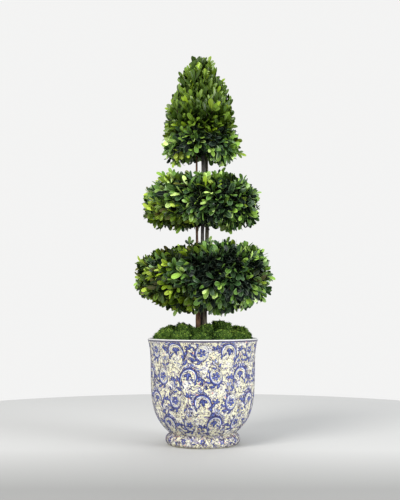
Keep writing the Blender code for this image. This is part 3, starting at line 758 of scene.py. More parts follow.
def arch(brush):
    """A leafy stem that rises, arches over and winds in to a hanging bud."""
    route = ((-7, 36), (-14, 22), (-16, 7), (-11, -8), (1, -15), (13, -11), (17, 1), (13, 9), (8, 8))
    path = smooth_stroke(route, 36)
    steps = len(path)
    halves = swelling(steps, 0.5, 2.7, 0.60)
    ahead = np.gradient(path, axis=0)
    aside = np.stack([ahead[:, 1], -ahead[:, 0]], axis=1) / np.linalg.norm(ahead, axis=1, keepdims=True)
    feathers(brush, path, 14, 28, 12.0)
    brush.line("cobalt", path, halves)
    streak = (path - aside * (halves * 0.45)[:, None])[2:-1]
    brush.line("blue", streak, swelling(steps - 3, 0.3, 1.3, 0.5), 0.06)
    brush.line("navy", path + aside * (halves * 0.92)[:, None], swelling(steps, 0.40, 1.05, 0.5))
    brush.line("navy", path - aside * (halves + 1.3)[:, None], 0.50)
    edge = (path - aside * (halves * 0.95)[:, None])[10:-4]
    brush.line("cream", edge, swelling(steps - 14, 0.30, 1.25, 0.6))
    leaves = ((3, 1, 12, 5.2), (6, -1, 10, 4.4), (8, 1, 13, 5.6), (30, 1, 9, 4.2), (34, -1, 7, 3.4))
    for k, side, length, width in leaves:
        way = math.atan2(ahead[k][1], ahead[k][0]) - side * 0.80
        leaf_stroke(brush, *path[k], way, length, width, side * 0.30)
    for turn, length in ((2.1, 10.0), (1.35, 14.0), (0.55, 10.0)):
        leaf_stroke(brush, -1.0, -7.0, turn, length, 6.0, 0.20)
    stalk = bent(-1.0, -7.0, 1.3, np.array([0.0, 5.0, 10.0, 15.0]), np.array([0.0, 1.0, 1.0, 3.0]))
    brush.line("navy", stalk, 0.7)
    for dot in ((-3.0, -4.0, 1.2), (5.0, -5.5, 1.0), (7.0, 2.0, 0.9), (-21.0, 2.0, 1.2), (-19.0, -6.0, 1.0)):
        brush.dot("purple", *dot)
    brush.dot("pink", -8.0, 10.0, 1.3)


def medallion(brush):
    """A leaning round of uneven thickness about a six-petalled flower, with leaves at its side."""
    turns = np.linspace(0.0, math.tau, 31)
    ring = np.stack([0.88 * np.cos(turns), 1.12 * np.sin(turns)], axis=1)
    swell = (0.5 + 0.5 * np.cos(turns - math.radians(125))) ** 1.5
    brush.line("cobalt", ring * 14.6, 0.20 + 2.5 * swell)
    brush.line("blue", ring * (13.2 - 1.4 * swell)[:, None], 0.20 + 1.1 * swell, 0.06)
    brush.line("navy", ring * (15.2 + 1.7 * swell)[:, None], 0.45 + 0.5 * swell)
    brush.line("navy", ring * (11.4 - 1.9 * swell)[:, None], 0.40)
    brush.line("white", (ring * 11.6)[3:24], swelling(21, 0.4, 1.9, 0.4), 0.12)
    flower(brush, 0.0, -0.6, 5, 8.6, 6.4, 0.3)
    for i in range(5):
        way = math.tau * (i + 0.5) / 5 + 0.3
        brush.dot("purple", 8.0 * math.cos(way), 8.6 * math.sin(way), 1.15)
    for i, (length, width) in enumerate(((11.0, 5.0), (14.0, 6.0), (12.0, 5.0), (9.0, 4.0), (8.0, 4.0))):
        way = math.radians(75 + 34 * i)
        leaf_stroke(brush, 14.0 * math.cos(way), 17.0 * math.sin(way), way + 0.75, length, width, 0.30)
    for i in range(4):
        way = math.radians(250 + 38 * i)
        outlined_leaf(brush, 14.5 * math.cos(way), 17.5 * math.sin(way), way + 0.45, 9.0, 4.4, 0.30)


def tendrils(brush):
    """A stem that parts into two curls, with leaves between them."""
    down = -math.pi / 2
    for side, radius in ((1.0, 7.0), (-1.0, 5.6)):
        stem = smooth_stroke(((0, 20), (1.5 * side, 8), (5 * side, -2), (10 * side, -9)), 12)
        brush.line("violet", stem, swelling(13, 0.5, 1.1, 0.6))
        brush.line("navy", stem + (0.6, 0.0), swelling(13, 0.3, 0.65, 0.6))
        middle, start = 10 * side + radius * side * 0.9, math.pi if side > 0 else 0.0
        path = coil(middle, -9, radius, radius * 0.2, start, side * 5.2, 15)
        brush.line("cobalt", path, swelling(15, 0.4, 1.5, 0.3))
        brush.line("navy", path + (0.0, -0.7), swelling(15, 0.3, 0.6, 0.3))
        brush.dot("purple", *path[-1], 1.3)
        leaf_stroke(brush, 1.5 * side, 8.0, down + side * 1.35, 10.0, 4.6, -side * 0.35)
        leaf_stroke(brush, 4.0 * side, 0.0, down - side * 0.35, 11.0, 4.4, side * 0.25, "blue")
        outlined_leaf(brush, 0.5 * side, 15.0, down + side * 1.2, 9.0, 4.2, -side * 0.3)
    for x, y in ((0.0, -4.0), (1.4, -8.0), (-1.6, -12.0), (14.0, 6.0), (-13.0, 7.0), (-16.0, 3.0)):
        brush.petal("purple", x, y, y, 3.2, 1.9, 0.4)
    brush.dot("pink", 0.0, -16.0, 1.4)


def fan(brush):
    """A spray of painted leaves on a short stalk."""
    for turn, length in ((-0.95, 8.5), (-0.35, 12.0), (0.25, 11.0), (0.90, 8.0)):
        leaf_stroke(brush, 0.0, 0.0, turn, length, 4.2, 0.28 if turn > 0 else -0.28)
    brush.line("violet", [(-7.0, 2.5), (-4.0, 1.6), (0.0, 0.0)], 0.8)
    brush.line("navy", [(-7.0, 3.2), (-4.0, 2.2), (0.0, 0.6)], 0.45)
    for x, y in ((3.0, 7.5), (5.5, -8.5), (-2.5, -4.5)):
        brush.petal("purple", x, y, 0.4 * y, 3.4, 2.0, 0.4)


def sprig(brush, rng):
    """One of the small things that fill the ground between the main forms."""
    kind = rng.random()
    side = rng.choice((-1.0, 1.0))
    if kind < 0.22:
        curl(brush, 0.0, 0.0, rng.uniform(3.2, 4.8), rng.uniform(0, 6), side, rng.choice(("violet", "navy")))
    elif kind < 0.46:
        length, width = rng.uniform(8.5, 11.0), rng.uniform(3.8, 5.0)
        outlined_leaf(brush, -4.6, 0.0, 0.0, length, width, 0.35 * side, rng.choice(("navy", "purple")))
    elif kind < 0.70:
        paint = rng.choice(("navy", "purple", "cobalt", "violet"))
        brush.petal(paint, -3.0, 0.0, 0.0, rng.uniform(5.4, 7.6), rng.uniform(2.2, 3.0), 0.45 * side)
        brush.petal("navy", 1.4, 4.0, 1.2 * side, rng.uniform(3.4, 5.0), 1.8, -0.4 * side)
        brush.line("navy", coil(-5.0, 0.0, 5.5, 5.5, -0.7, 1.5, 6), swelling(6, 0.2, 0.6, 0.5))
    elif kind < 0.76:
        for turn in (0.0, 2.1, 4.2):
            brush.dot("purple", 2.2 * math.cos(turn), 2.2 * math.sin(turn), 1.1)
    elif kind < 0.80:
        brush.dot("pink", 0.0, 0.0, rng.uniform(1.3, 2.0))
        brush.petal("navy", 0.0, 0.0, 0.0, 4.0, 1.6, 0.3)
    else:
        path = coil(-5.0, 0.0, 7.5, 7.5, -0.7, 1.5, 8)
        brush.line("violet", path, swelling(8, 0.35, 1.0, 0.5))
        brush.line("navy", path + (1.9, 0.5), swelling(8, 0.35, 0.85, 0.5))


def main_forms(brush, rng, foot):
    """Rows of arches and medallions by turns, with tendrils and fans between them."""
    rounds = []
    for row in range(int((foot - FIRST_ROW) / ROW_PITCH) + 1):
        for k in range(2 * COLUMNS):
            across = (k + 0.5 * (row % 2)) * COLUMN / 2 + rng.uniform(-3.5, 3.5)
            down = FIRST_ROW + ROW_PITCH * row + rng.uniform(-3.0, 3.0)
            turn = rng.uniform(-0.6, 0.6) + math.pi * (k % 2)
            brush.place(across + COLUMN / 4, down + ROW_PITCH * 0.45, turn, 0.92)
            tendrils(brush)
            aside, lower = rng.uniform(-2.0, 2.0), rng.uniform(-7.0, 3.0)
            turn = rng.uniform(-0.6, 0.6) - math.pi / 2 * (-1.0) ** row
            brush.place(across + COLUMN / 4 + aside, down + lower, turn, 0.95)
            fan(brush)
            if (k + row // 2) % 2:
                brush.place(across, down, rng.uniform(-0.25, 0.25), 1.0, 1.0 if row % 2 else -1.0)
                arch(brush)
            else:
                brush.place(across, down, rng.uniform(-0.3, 0.3), 0.95)
                medallion(brush)
                rounds.append((across, down))
    return rounds


def on_medallion(across, down, rounds):
    for x, y in rounds:
        if math.hypot(math.remainder(across - x, ROUND), down - y) < MEDALLION_REACH:
            return True
    return False


def scatter_sprigs(brush, rng, skin, rounds):
    """Sprigs all over but on the medallions, and more of them round the foot."""
    foot, bottom = skin["down"][skin["neck"]], skin["down"][-1]
    for i in range(int(bottom / SPRIG_PITCH)):
        down = (i + 0.5) * SPRIG_PITCH
        radius = np.interp(down, skin["down"], skin["profile"][:, 0])
        count = int(ROUND * radius / BODY_RADIUS / SPRIG_PITCH)
        for k in range(count):
            across = ROUND * (k + 0.5 * (i % 2) + rng.uniform(-0.3, 0.3)) / count
            if not on_medallion(across, down, rounds):
                lower = rng.uniform(-2.0, 2.0)
                brush.place(across, down + lower, rng.uniform(0, math.tau), rng.uniform(0.8, 1.15))
                sprig(brush, rng)
    for i in range(FOOT_SPRIGS):
        across = ROUND * (i + rng.random()) / FOOT_SPRIGS
        brush.place(across, rng.uniform(foot, bottom), rng.uniform(0, math.tau), 1.1)
        sprig(brush, rng)


def scatter_commas(brush, rng, bottom):
    """Small marks over all of it, one in each square of a grid but at a place of its own."""
    count = int(ROUND / COMMA_PITCH)
    for i in range(int(bottom / COMMA_PITCH)):
        for k in range(count):
            across = ROUND * (k + rng.uniform(0.1, 0.9)) / count
            brush.place(across, (i + rng.uniform(0.1, 0.9)) * COMMA_PITCH, rng.uniform(0, math.tau))
            length, width = rng.uniform(2.6, 4.8), rng.uniform(1.3, 2.2)
            brush.petal(rng.choice(("navy", "purple", "navy", "cobalt")), 0.0, 0.0, 0.0, length, width, 0.4)


def edge_lines(brush, bottom):
    """The lines round the pot under its lip and at its foot; those under the lip are partly painted shadow
    of the lip.
    """
    across = np.linspace(0.0, ROUND, COLUMNS * 24 + 1)
    brush.place(0.0, 0.0)
    # The violet and slate bands under the lip are partly painted shadow of the lip; the olive one at the
    # foot is a line.
    bands = (("violet", RIM_SHADOW_LINE + 1.2, 1.0), ("slate", RIM_SHADOW_LINE, 0.95), ("olive", bottom - 2.2, 0.55))
    for paint, down, half in bands:
        brush.line(paint, np.stack([across, np.full(len(across), down)], axis=1), half)


def foot_flowers(brush, down):
    """Flowers round the foot, with a curl and two leaves after each."""
    for i in range(2 * COLUMNS):
        across = ROUND * i / (2 * COLUMNS)
        brush.place(across, down, 0.5 * i, 1.1)
        flower(brush, 0.0, 0.0, 5, 6.4, 4.2, 0.2)
        brush.place(across + ROUND / COLUMNS / 4, down, 1.0, 1.1, 1.0 if i % 2 else -1.0)
        curl(brush, 0.0, 0.0, 5.4, 0.4, 1.0, "cobalt")
        leaf_stroke(brush, -3.0, -2.0, 2.2, 8.0, 3.6, 0.3)
        leaf_stroke(brush, 2.0, 3.0, -0.7, 7.4, 3.4, -0.3)


def paint_pattern(skin):
    """All the strokes, by paint."""
    brush = Brush()
    rng = random.Random(8)
    foot, bottom = skin["down"][skin["neck"]], skin["down"][-1]
    rounds = main_forms(brush, rng, foot)
    scatter_sprigs(brush, rng, skin, rounds)
    scatter_commas(brush, rng, bottom)
    edge_lines(brush, bottom)
    foot_flowers(brush, foot + FOOT_BAND)
    return brush.strokes


def pot_skin():
    """The outside of the pot as even samples: how far down, radius, height and outward normal."""
    body, bead = outside_profile(400, 2, 60)
    profile = np.array(body + bead[1:])
    steps = np.diff(profile, axis=0)
    down = np.concatenate([[0.0], np.cumsum(np.hypot(steps[:, 0], steps[:, 1]))]) * 1000.0
    slope = np.gradient(profile, axis=0)
    normal = np.stack([-slope[:, 1], slope[:, 0]], axis=1)
    normal /= np.linalg.norm(normal, axis=1, keepdims=True)
    return {"down": down, "profile": profile, "normal": normal, "neck": len(body) - 1}


def paint_look(name, colour):
    look = glazed("paint_" + name, 0.24, 0.4)
    wash = look.stretch(0.36, 0.66, look.noise(look.place(), 190.0, 3.0))
    base = linear(colour)
    look.colour(look.mix(wash, scaled(base, 0.62), scaled(base, 1.40, 0.015)))
    return look.material


def joined_strokes(strokes, low, high):
    """Points, lifts and faces of all the strokes that reach in between two heights down."""
    points, lifts, faces, count = [], [], [], 0
    for spots, lift, triangles in strokes:
        if spots[:, 1].max() >= low and spots[:, 1].min() <= high:
            points.append(spots)
            lifts.append(lift)
            faces.append(triangles + count)
            count += len(spots)
    return np.concatenate(points), np.concatenate(lifts), np.concatenate(faces)


def build_pattern():
    """The strokes laid on the pot, one piece for each paint."""
    skin = pot_skin()
    low, high = PATTERN_TOP, skin["down"][-1] - PATTERN_END
    for paint, strokes in paint_pattern(skin).items():
        points, lifts, faces = joined_strokes(strokes, low, high)
        down = np.clip(points[:, 1], low, high)
        radius, height = (np.interp(down, skin["down"], skin["profile"][:, i]) for i in (0, 1))
        out, up = (np.interp(down, skin["down"], skin["normal"][:, i]) for i in (0, 1))
        radius = radius + lifts * 0.001 * out
        height = height + lifts * 0.001 * up
        turn = points[:, 0] / ROUND * math.tau - math.pi / 2
        places = np.stack([radius * np.cos(turn), radius * np.sin(turn), height], axis=1)
        mesh = make_mesh("pot_paint_" + paint, places, faces)
        add_piece(mesh, paint_look(paint, PAINTS[paint].colour), "glazed_pot")


def build_pot():
    bm = bmesh.new()
    bm.from_mesh(make_mesh("pot_section", *lathe(pot_profile(), POT_STEPS)))
    bmesh.ops.remove_doubles(bm, verts=bm.verts[:], dist=1e-6)
    bmesh.ops.recalc_face_normals(bm, faces=bm.faces[:])
    mesh = mesh_of("pot_body", bm)
    mesh.shade_smooth()
    add_piece(mesh, glaze_look(), "glazed_pot", "pot")


# --- stems ---

def stem_section(name, height):
    """Middle and radius of a stem at a height, eased between its stations."""
    stations = STEMS[name].stations
    levels = STEM_LEVELS[:len(stations)]
    last = len(stations) - 1
    i = 0
    while i < last - 1 and height > levels[i + 1]:
        i += 1
    share = (height - levels[i]) / (levels[i + 1] - levels[i])
    before = stations[max(i - 1, 0)]
    after = stations[min(i + 2, last)]
    section = []
    for a, b, c, d in zip(before, stations[i], stations[i + 1], after):
        bend = (-a + 3 * b - 3 * c + d) * share ** 3 + (2 * a - 5 * b + 4 * c - d) * share ** 2
        section.append(0.5 * (bend + (c - a) * share + 2 * b))
    return section


def bark_look(bark):
    look = Nodes("bark_" + bark.name, 0.78, 0.3)
    place = look.place()
    long = look.add("ShaderNodeMapping", {"Vector": place, "Scale": (1.0, 1.0, 0.14)}).outputs[0]
    ridges = look.noise(long, bark.streaks, 4.0, 0.65)
    spots = look.noise(place, 160.0, 3.0)
    body = look.mix(look.stretch(0.36, 0.66, ridges), linear(bark.dark), linear(bark.light))
    look.colour(look.mix(look.stretch(0.60, 0.80, spots), body, linear(BARK_SPOTS)))
    look.bump(ridges, 0.6, 0.0008)
    return look.material


def bark_relief(way, height, number):
    """What a stem's radius is scaled by at its ridges, cracks and knots."""
    grain = Vector((way.x * 2.2 + number * 7.0, way.y * 2.2, height * 26.0))
    ridge = noise.noise(grain * 1.6) * 0.60 + noise.noise(grain * 3.9) * 0.35
    knot = max(0.0, noise.noise(Vector((way.x + number * 3.0, way.y, height * 34.0))) - 0.25)
    return 1.0 + 0.20 * ridge + 0.30 * knot


def build_stems():
    """Each stem along its solid's middle, with the relief of its bark."""
    for number, (name, stem) in enumerate(STEMS.items()):
        tall = stem.top - MOSS_FOOT
        rows = int(tall / STEM_ROW)
        points = []
        for i in range(rows + 1):
            height = MOSS_FOOT + tall * i / rows
            x, y, radius = stem_section(name, height)
            for k in range(STEM_SIDES):
                turn = math.tau * k / STEM_SIDES + height * 2.5
                way = Vector((math.cos(turn), math.sin(turn), 0.0))
                reach = radius * bark_relief(way, height, number)
                points.append((x + way.x * reach, y + way.y * reach, height))
        mesh = make_mesh(name + "_bark", points, ring_faces(rows + 1, STEM_SIDES))
        add_piece(mesh, bark_look(stem.bark), "bark", name)


def clear_of_stems(point):
    for name, stem in STEMS.items():
        if point.z < stem.top + STEM_CLEARANCE:
            x, y, radius = stem_section(name, max(point.z, MOSS_FOOT))
            if math.hypot(point.x - x, point.y - y) < radius + STEM_CLEARANCE:
                return False
    return True


# --- foliage ---

def tier_radius(tier, height, grow=0.0):
    """Radius of a tier's outline at a height, with the outline grown by a margin."""
    fall = tier["up"] if height >= tier["level"] else tier["down"]
    share = abs(height - tier["level"]) / (fall[0] + grow)
    if share >= 1.0:
        return 0.0
    return (tier["radius"] + grow) * (1.0 - share ** fall[1]) ** fall[2]


def half_at(tier, height):
    return "up" if height >= tier["level"] else "down"


def hollow_at(tier, half, across):
    """How far a tier's top or underside draws back there, towards the stems."""
    return tier["hollow"][half] * max(0.0, 1.0 - (across / HOLLOW_RADIUS) ** 2)


def lean_at(tier, point):
    """How much a tier's outline is raised there, where its top or underside isn't level."""
    half = half_at(tier, point.z)
    left, right, back = tier["lean"][half]
    rise = left * max(0.0, -point.x) + right * max(0.0, point.x) + back * max(0.0, point.y)
    return rise * eased(0.0, tier[half][0], abs(point.z - tier["level"]))


def inside_tier(tier, point, grow):
    across = math.hypot(point.x - tier["centre"][0], point.y - tier["centre"][1])
    height = point.z - lean_at(tier, point)
    half = half_at(tier, height)
    if abs(height - tier["level"]) > tier[half][0] + grow - hollow_at(tier, half, across):
        return False
    return across <= tier_radius(tier, height, grow)


def in_opening(tier, point):
    """Whether a place is under the arch that a tier's leaves leave open at the stems."""
    if "arch" not in tier:
        return False
    middle, half, top = tier["arch"]
    return point.z < top - ARCH_DROP * ((point.x - middle) / half) ** 2


def tier_outline(tier, rings):
    """(radius, height) points down a tier's outline, evenly turned round its section."""
    points = []
    for half, sign in (("up", 1.0), ("down", -1.0)):
        for i in range(rings + 1):
            turn = math.pi / 2 * (1.0 - i / rings) if half == "up" else math.pi / 2 * i / rings
            height = tier["level"] + sign * tier[half][0] * math.sin(turn)
            radius = tier_radius(tier, height)
            if half == "up" or i:
                points.append((radius, height - sign * hollow_at(tier, half, radius)))
    return points


def spray_spots(tier, count):
    """Where each spray comes out of a tier, evenly spread by the golden angle."""
    outline = tier_outline(tier, 40)
    spans, total = [], 0.0
    for (r0, z0), (r1, z1) in zip(outline, outline[1:]):
        area = math.hypot(r1 - r0, z1 - z0) * (r0 + r1)
        spans.append((total, area, r0, z0, r1, z1))
        total += area
    golden = math.pi * (3.0 - math.sqrt(5.0))
    k = 0
    for i in range(count):
        target = total * (i + 0.5) / count
        while k < len(spans) - 1 and spans[k + 1][0] <= target:
            k += 1
        before, area, r0, z0, r1, z1 = spans[k]
        share = (target - before) / area
        radius = r0 + (r1 - r0) * share
        height = z0 + (z1 - z0) * share
        angle = golden * i
        out = Vector((z0 - z1, r1 - r0)).normalized()
        direction = Vector((out.x * math.cos(angle), out.x * math.sin(angle), out.y))
        x = tier["centre"][0] + radius * math.cos(angle)
        y = tier["centre"][1] + radius * math.sin(angle)
        point = Vector((x, y, height))
        point.z += lean_at(tier, point)
        yield Spot(point, direction, angle)


def tilted(direction, tilt, roll):
    """A direction leaned over by tilt, towards the side that roll gives."""
    across = direction.orthogonal().normalized()
    across.rotate(Matrix.Rotation(roll, 3, direction))
    return (direction * math.cos(tilt) + across * math.sin(tilt)).normalized()


def square_to(way, ahead):
    """The part of a direction that is square to another."""
    return way - ahead * way.dot(ahead)


def lift_at(tier, height):
    """How strongly sprays turn up: hardly in the round tiers, fully in the cone's upper part."""
    if tier["node"] != "top_cone_foliage":
        return 0.12
    return 0.10 + 2.6 * eased(0.630, 0.690, height)


def depth_of(fresh):
    """How deep a spray's tint is: 1 where it is freshest, to 4."""
    return 1 + sum(fresh <= step for step in FRESH_STEPS)


def tint_of(tier, spot, rng):
    """The tints a spray gets, and how deep: freshest where it stands in the light."""
    place = Vector((tier["seed"], 0.0, 0.0))
    patch = noise.noise(spot.point * 24.0 + place)
    left = -math.cos(spot.angle)
    # Painted shade: sprays on a tier's top are a little darker.
    fresh = 0.45 + tier["light"] - 0.01 * left - 0.06 * max(0.0, spot.outward.z) + 0.18 * patch
    fresh += rng.uniform(-0.40, 0.40)
    warm = 0.14 + tier["warm"] * max(0.0, left) + noise.noise(spot.point * 19.0 + place * 3.0) * 0.75
    warm += rng.uniform(-0.15, 0.15)
    if tier["node"] == "top_cone_foliage":
        high = eased(0.595, 0.640, spot.point.z)
        warm += 0.85 * high
        fresh += 0.05 - 0.03 * high
        if warm > WARM_LIMIT and high > 0.5:
            return CONE_TINTS, depth_of(fresh)
    if tier["node"] == "lower_tier_foliage":
        # Painted light: the lower tier's top at the right is fresher, where the middle tier shades it.
        fresh += 0.24 * eased(0.350, 0.380, spot.point.z) * eased(0.10, 0.50, -left)
    if tier["node"] == "middle_tier_foliage":
        lower_left = eased(0.20, 0.70, left) * eased(0.485, 0.455, spot.point.z)
        warm += 0.70 * lower_left
        fresh -= 0.12 * lower_left
    return WARM_TINTS if warm > WARM_LIMIT else COOL_TINTS, depth_of(fresh)


def spray_slack(spot, rng, steep, upright):
    """How far a spray's leaves may pass its tier's outline."""
    slack = 0.0010 + 0.0055 * rng.random() ** 2 + 0.0070 * steep + 0.0050 * noise.noise(spot.point * 26.0)
    if rng.random() < 0.14:
        slack += 0.0040
    if upright > 0.0:
        slack += 0.0060 * eased(0.690, 0.745, spot.point.z)
    return slack


def leaf_length_inside(tier, root, way, length, slack):
    """A leaf's length, cut until it keeps to its tier, or None where it can't or meets a stem."""
    for shrink in LEAF_SHRINKS:
        tip = root + way * length * shrink
        if inside_tier(tier, tip, slack) and not in_opening(tier, tip):
            length *= shrink
            clear = clear_of_stems(tip) and clear_of_stems(root + way * length * 0.5)
            return length if clear else None
    return None


def grow_spray(tier, rng, spot, hubs, leaves, twigs):
    """One twig from its bough out to the tier's outline, with leaves in crossed pairs."""
    outward = spot.outward
    lift = lift_at(tier, spot.point.z)
    upright = min(1.0, lift / 2.0)
    sweep = tier["sweep"] * eased(0.90, 0.30, outward.x)
    aim = (outward + Vector((-sweep, 0.0, lift))).normalized()
    twig = tilted(aim, math.radians(rng.uniform(0, 28 - 12 * upright)), rng.uniform(0, math.tau))
    steep = max(0.0, outward.z) * 0.7 + max(0.0, -outward.z)
    inset = 0.0140 - 0.0070 * upright - 0.0035 * steep + rng.uniform(-0.0065, 0.0075)
    end = spot.point - outward * inset - twig * 0.010 * upright
    slack = spray_slack(spot, rng, steep, upright)
    hub = min(hubs, key=lambda h: (h - end).length)
    foot = end - twig * TWIG_LENGTH
    bend = (hub + foot) / 2 - outward * 0.004
    twigs.append((hub, bend, foot, (foot + end) / 2 + outward * rng.uniform(-0.001, 0.001), end))
    tints, depth_of_tint = tint_of(tier, spot, rng)
    roll = rng.uniform(0, math.tau)
    # Leaves at the left turn flat to the front or the back, and those further right lie level.
    flat = 0.9 * eased(0.10, 0.75, -outward.x)
    edged = 1.5 * eased(-0.35, 0.15, outward.x) * eased(0.95, 0.65, outward.x) * (1.0 - upright)
    turned = Vector((-0.30, math.copysign(0.85, outward.y), 0.45)) * flat
    free = 1.0 - 0.6 * upright - 0.40 * max(flat, edged)
    for k, (depth, tilt, size) in enumerate(zip(PAIR_DEPTHS, PAIR_TILTS, PAIR_SIZES)):
        for side in (0.0, math.pi):
            turn = roll + side + k * math.pi / 2 + math.radians(rng.uniform(-22, 22))
            ahead = tilted(twig, math.radians(tilt * (1.0 - 0.42 * upright) + rng.uniform(-11, 11)), turn)
            length = LEAF_LENGTH * size * rng.uniform(0.80, 1.18) * (1.0 + 0.06 * upright)
            root = end - twig * depth
            length = leaf_length_inside(tier, root, ahead, length, slack)
            if length is None:
                continue
            inner, outer = square_to(twig, ahead).normalized(), square_to(outward, ahead)
            face = (inner * (0.75 - 0.45 * upright) + outer * (0.28 + 0.52 * upright)).normalized()
            face = square_to(face + turned + Vector((0.0, 0.0, 1.0)) * edged, ahead).normalized()
            face.rotate(Matrix.Rotation(math.radians(rng.uniform(-58, 58)) * free, 3, ahead))
            key = leaf_tint(tints, depth_of_tint, k, rng)
            width = length * (LEAF_SHAPE * (1.0 - 0.22 * upright)) * rng.uniform(0.86, 1.12)
            cup, droop = rng.uniform(0.05, 0.42), rng.uniform(0.02, 0.26)
            shape = (length, width, cup, droop, rng.randrange(TILES), rng.randrange(TILES))
            leaves.setdefault(key, []).append((*root, *ahead, *face, *shape))


def loose_leaves(name, rng, hubs, leaves, twigs):
    """The few leaves that stand out of a tier, three on a twig of their own."""
    tints = WARM_TINTS if name == "top_cone" else COOL_TINTS
    for root, tip in LOOSE_LEAVES[name]:
        root, tip = Vector(root), Vector(tip)
        hub = min(hubs, key=lambda h: (h - root).length)
        foot = hub.lerp(root, 0.6)
        twigs.append((hub, hub.lerp(foot, 0.5), foot, foot.lerp(root, 0.5), root))
        ahead = (tip - root).normalized()
        face = square_to(Vector(LOOSE_FACE), ahead).normalized()
        for depth, way, size in LOOSE_TRIO:
            turned = ahead.copy()
            turned.rotate(Matrix.Rotation(way, 3, face))
            length = (tip - root).length * size
            shape = (length, length * LEAF_SHAPE, 0.2, 0.1, rng.randrange(TILES), rng.randrange(TILES))
            leaves.setdefault(tints[depth], []).append((*root, *turned, *face, *shape))


def leaf_tint(tints, depth, k, rng):
    """A leaf's own tint: about its spray's, deeper towards the twig's foot as painted shade inside the tier,
    and some outer ones paler, partly as painted highlights.
    """
    # Painted shade: the leaves deepest in a spray take the darkest tint.
    if k >= 4:
        return tints[4]
    chance = rng.random()
    if k < 3 and tints is WARM_TINTS and chance > 0.92:
        return "rusty" if chance > 0.99 else "olive"
    # Leaves further in get deeper tints as painted shade; some outer ones get paler, partly as painted
    # highlights.
    if k == 3:
        depth += 2 if chance < 0.5 else 1
    elif k == 2:
        depth += 1 if chance < 0.8 else 0
    elif chance < 0.38:
        depth -= 2 if chance < 0.10 else 1
    elif chance > 0.80:
        depth += 1
    return tints[max(0, min(4, depth))]


def leaf_template():
    """Places (along, across) and triangles of one leaf."""
    spots = [(0.0, 0.0)]
    for row, half in zip(LEAF_ROWS[1:-1], LEAF_HALVES[1:-1]):
        spots += [(row, -half), (row, 0.0), (row, half)]
    spots.append((1.0, 0.0))
    faces = [(0, 1, 2), (0, 2, 3)]
    last = 1
    for i in range(len(LEAF_ROWS) - 3):
        a, b = last, last + 3
        for k in (0, 1):
            faces += [(a + k, b + k, b + k + 1), (a + k, b + k + 1, a + k + 1)]
        last = b
    faces += [(last, last + 3, last + 1), (last + 1, last + 3, last + 2)]
    return np.array(spots), np.array(faces)


def leaf_mesh(name, rows):
    """All the leaves of one tint in one mesh, with a map that lays each on one of its places."""
    rows = np.array(rows)
    spots, triangles = leaf_template()
    root, ahead, face = rows[:, None, 0:3], rows[:, None, 3:6], rows[:, None, 6:9]
    side = np.cross(face, ahead)
    length, width, cup, bend = (rows[:, None, 9 + i, None] for i in range(4))
    u, v = spots[None, :, 0:1], spots[None, :, 1:2]
    rise = cup * width / 2 * v * v - bend * length * u ** 2.2 + 0.25 * bend * length * u
    points = root + ahead * length * (u - 0.10 * bend * u * u) + side * width / 2 * v + face * rise
    count, corners = len(rows), len(spots)
    faces = triangles[None] + (np.arange(count) * corners)[:, None, None]
    mesh = make_mesh(name, points.reshape(-1, 3), faces.reshape(-1, 3))
    tile = rows[:, None, 13:15]
    place = np.stack([0.06 + 0.88 * spots[:, 0], 0.5 + 0.44 * np.sign(spots[:, 1])], axis=-1)
    places = (tile + place[None]) / TILES
    layer = mesh.uv_layers.new(name="OFBake")
    layer.uv.foreach_set("vector", places.reshape(-1, 2)[faces.ravel()].astype(np.float32).ravel())
    return mesh


def leaf_look(name, tint):
    """A waxy leaf: a paler midrib, a painted highlight on its rim, painted shade at its foot, and each place
    of the map a little different.
    """
    look = Nodes("leaf_" + name, 0.34, tint.sheen)
    uv = look.add("ShaderNodeUVMap", uv_map="OFBake").outputs[0]
    u, v = (look.times(part, float(TILES)) for part in tuple(look.split(uv))[:2])
    cell = look.add("ShaderNodeCombineXYZ", {0: look.maths("FLOOR", u), 1: look.maths("FLOOR", v)})
    chance = look.add("ShaderNodeTexWhiteNoise", {"Vector": cell.outputs[0]}).outputs["Value"]
    along = look.maths("FRACT", u)
    across = look.away(look.maths("FRACT", v), 0.5)
    base = linear(tint.colour)
    body = look.mix(chance, scaled(base, 0.55), scaled(base, 1.60, 0.004))
    # Painted shade: each leaf is darker towards its foot, where the leaves around it shade it.
    foot = look.times(look.stretch(0.60, 0.10, along), 0.75)
    body = look.mix(foot, body, scaled(base, 0.35))
    rib = look.times(look.stretch(0.060, 0.015, across), 0.75)
    body = look.mix(rib, body, scaled(base, 2.0, 0.045))
    # Painted highlight: the outer half of each leaf's rim is made paler, where edges catch the light.
    more = COOL_GLINT if name in COOL_TINTS else WARM_GLINT
    glint = tuple(min(1.0, c * 1.45 + extra) for c, extra in zip(base, more))
    rim = look.times(look.stretch(0.300, 0.385, across), look.stretch(0.30, 0.60, along), 0.85)
    look.colour(look.mix(rim, body, glint))
    veins = look.add("ShaderNodeTexWave", {"Vector": uv, "Scale": 26.0, "Distortion": 1.5})
    look.bump(veins.outputs["Fac"], 0.12, 0.0004)
    return look.material


def tube_mesh(name, paths, thick, thin, sides):
    """Tapering tubes along paths of the same number of points, all in one mesh."""
    paths = np.array([[tuple(p) for p in path] for path in paths])
    count, steps = paths.shape[:2]
    along = np.gradient(paths, axis=1)
    along /= np.linalg.norm(along, axis=2, keepdims=True) + 1e-12
    up, right = np.array([0.0, 0.0, 1.0]), np.array([1.0, 0.0, 0.0])
    first = np.cross(along, np.where(np.abs(along[:, :, 2:3]) < 0.8, up, right))
    first /= np.linalg.norm(first, axis=2, keepdims=True)
    second = np.cross(along, first)
    radius = (thick + (thin - thick) * np.linspace(0.0, 1.0, steps))[None, :, None, None]
    turns = (np.arange(sides) * (math.tau / sides))[None, None, :, None]
    ring = first[:, :, None] * np.cos(turns) + second[:, :, None] * np.sin(turns)
    points = paths[:, :, None] + ring * radius
    faces = ring_faces(steps, sides)[None] + (np.arange(count) * steps * sides)[:, None, None]
    return make_mesh(name, points.reshape(-1, 3), faces.reshape(-1, 4))


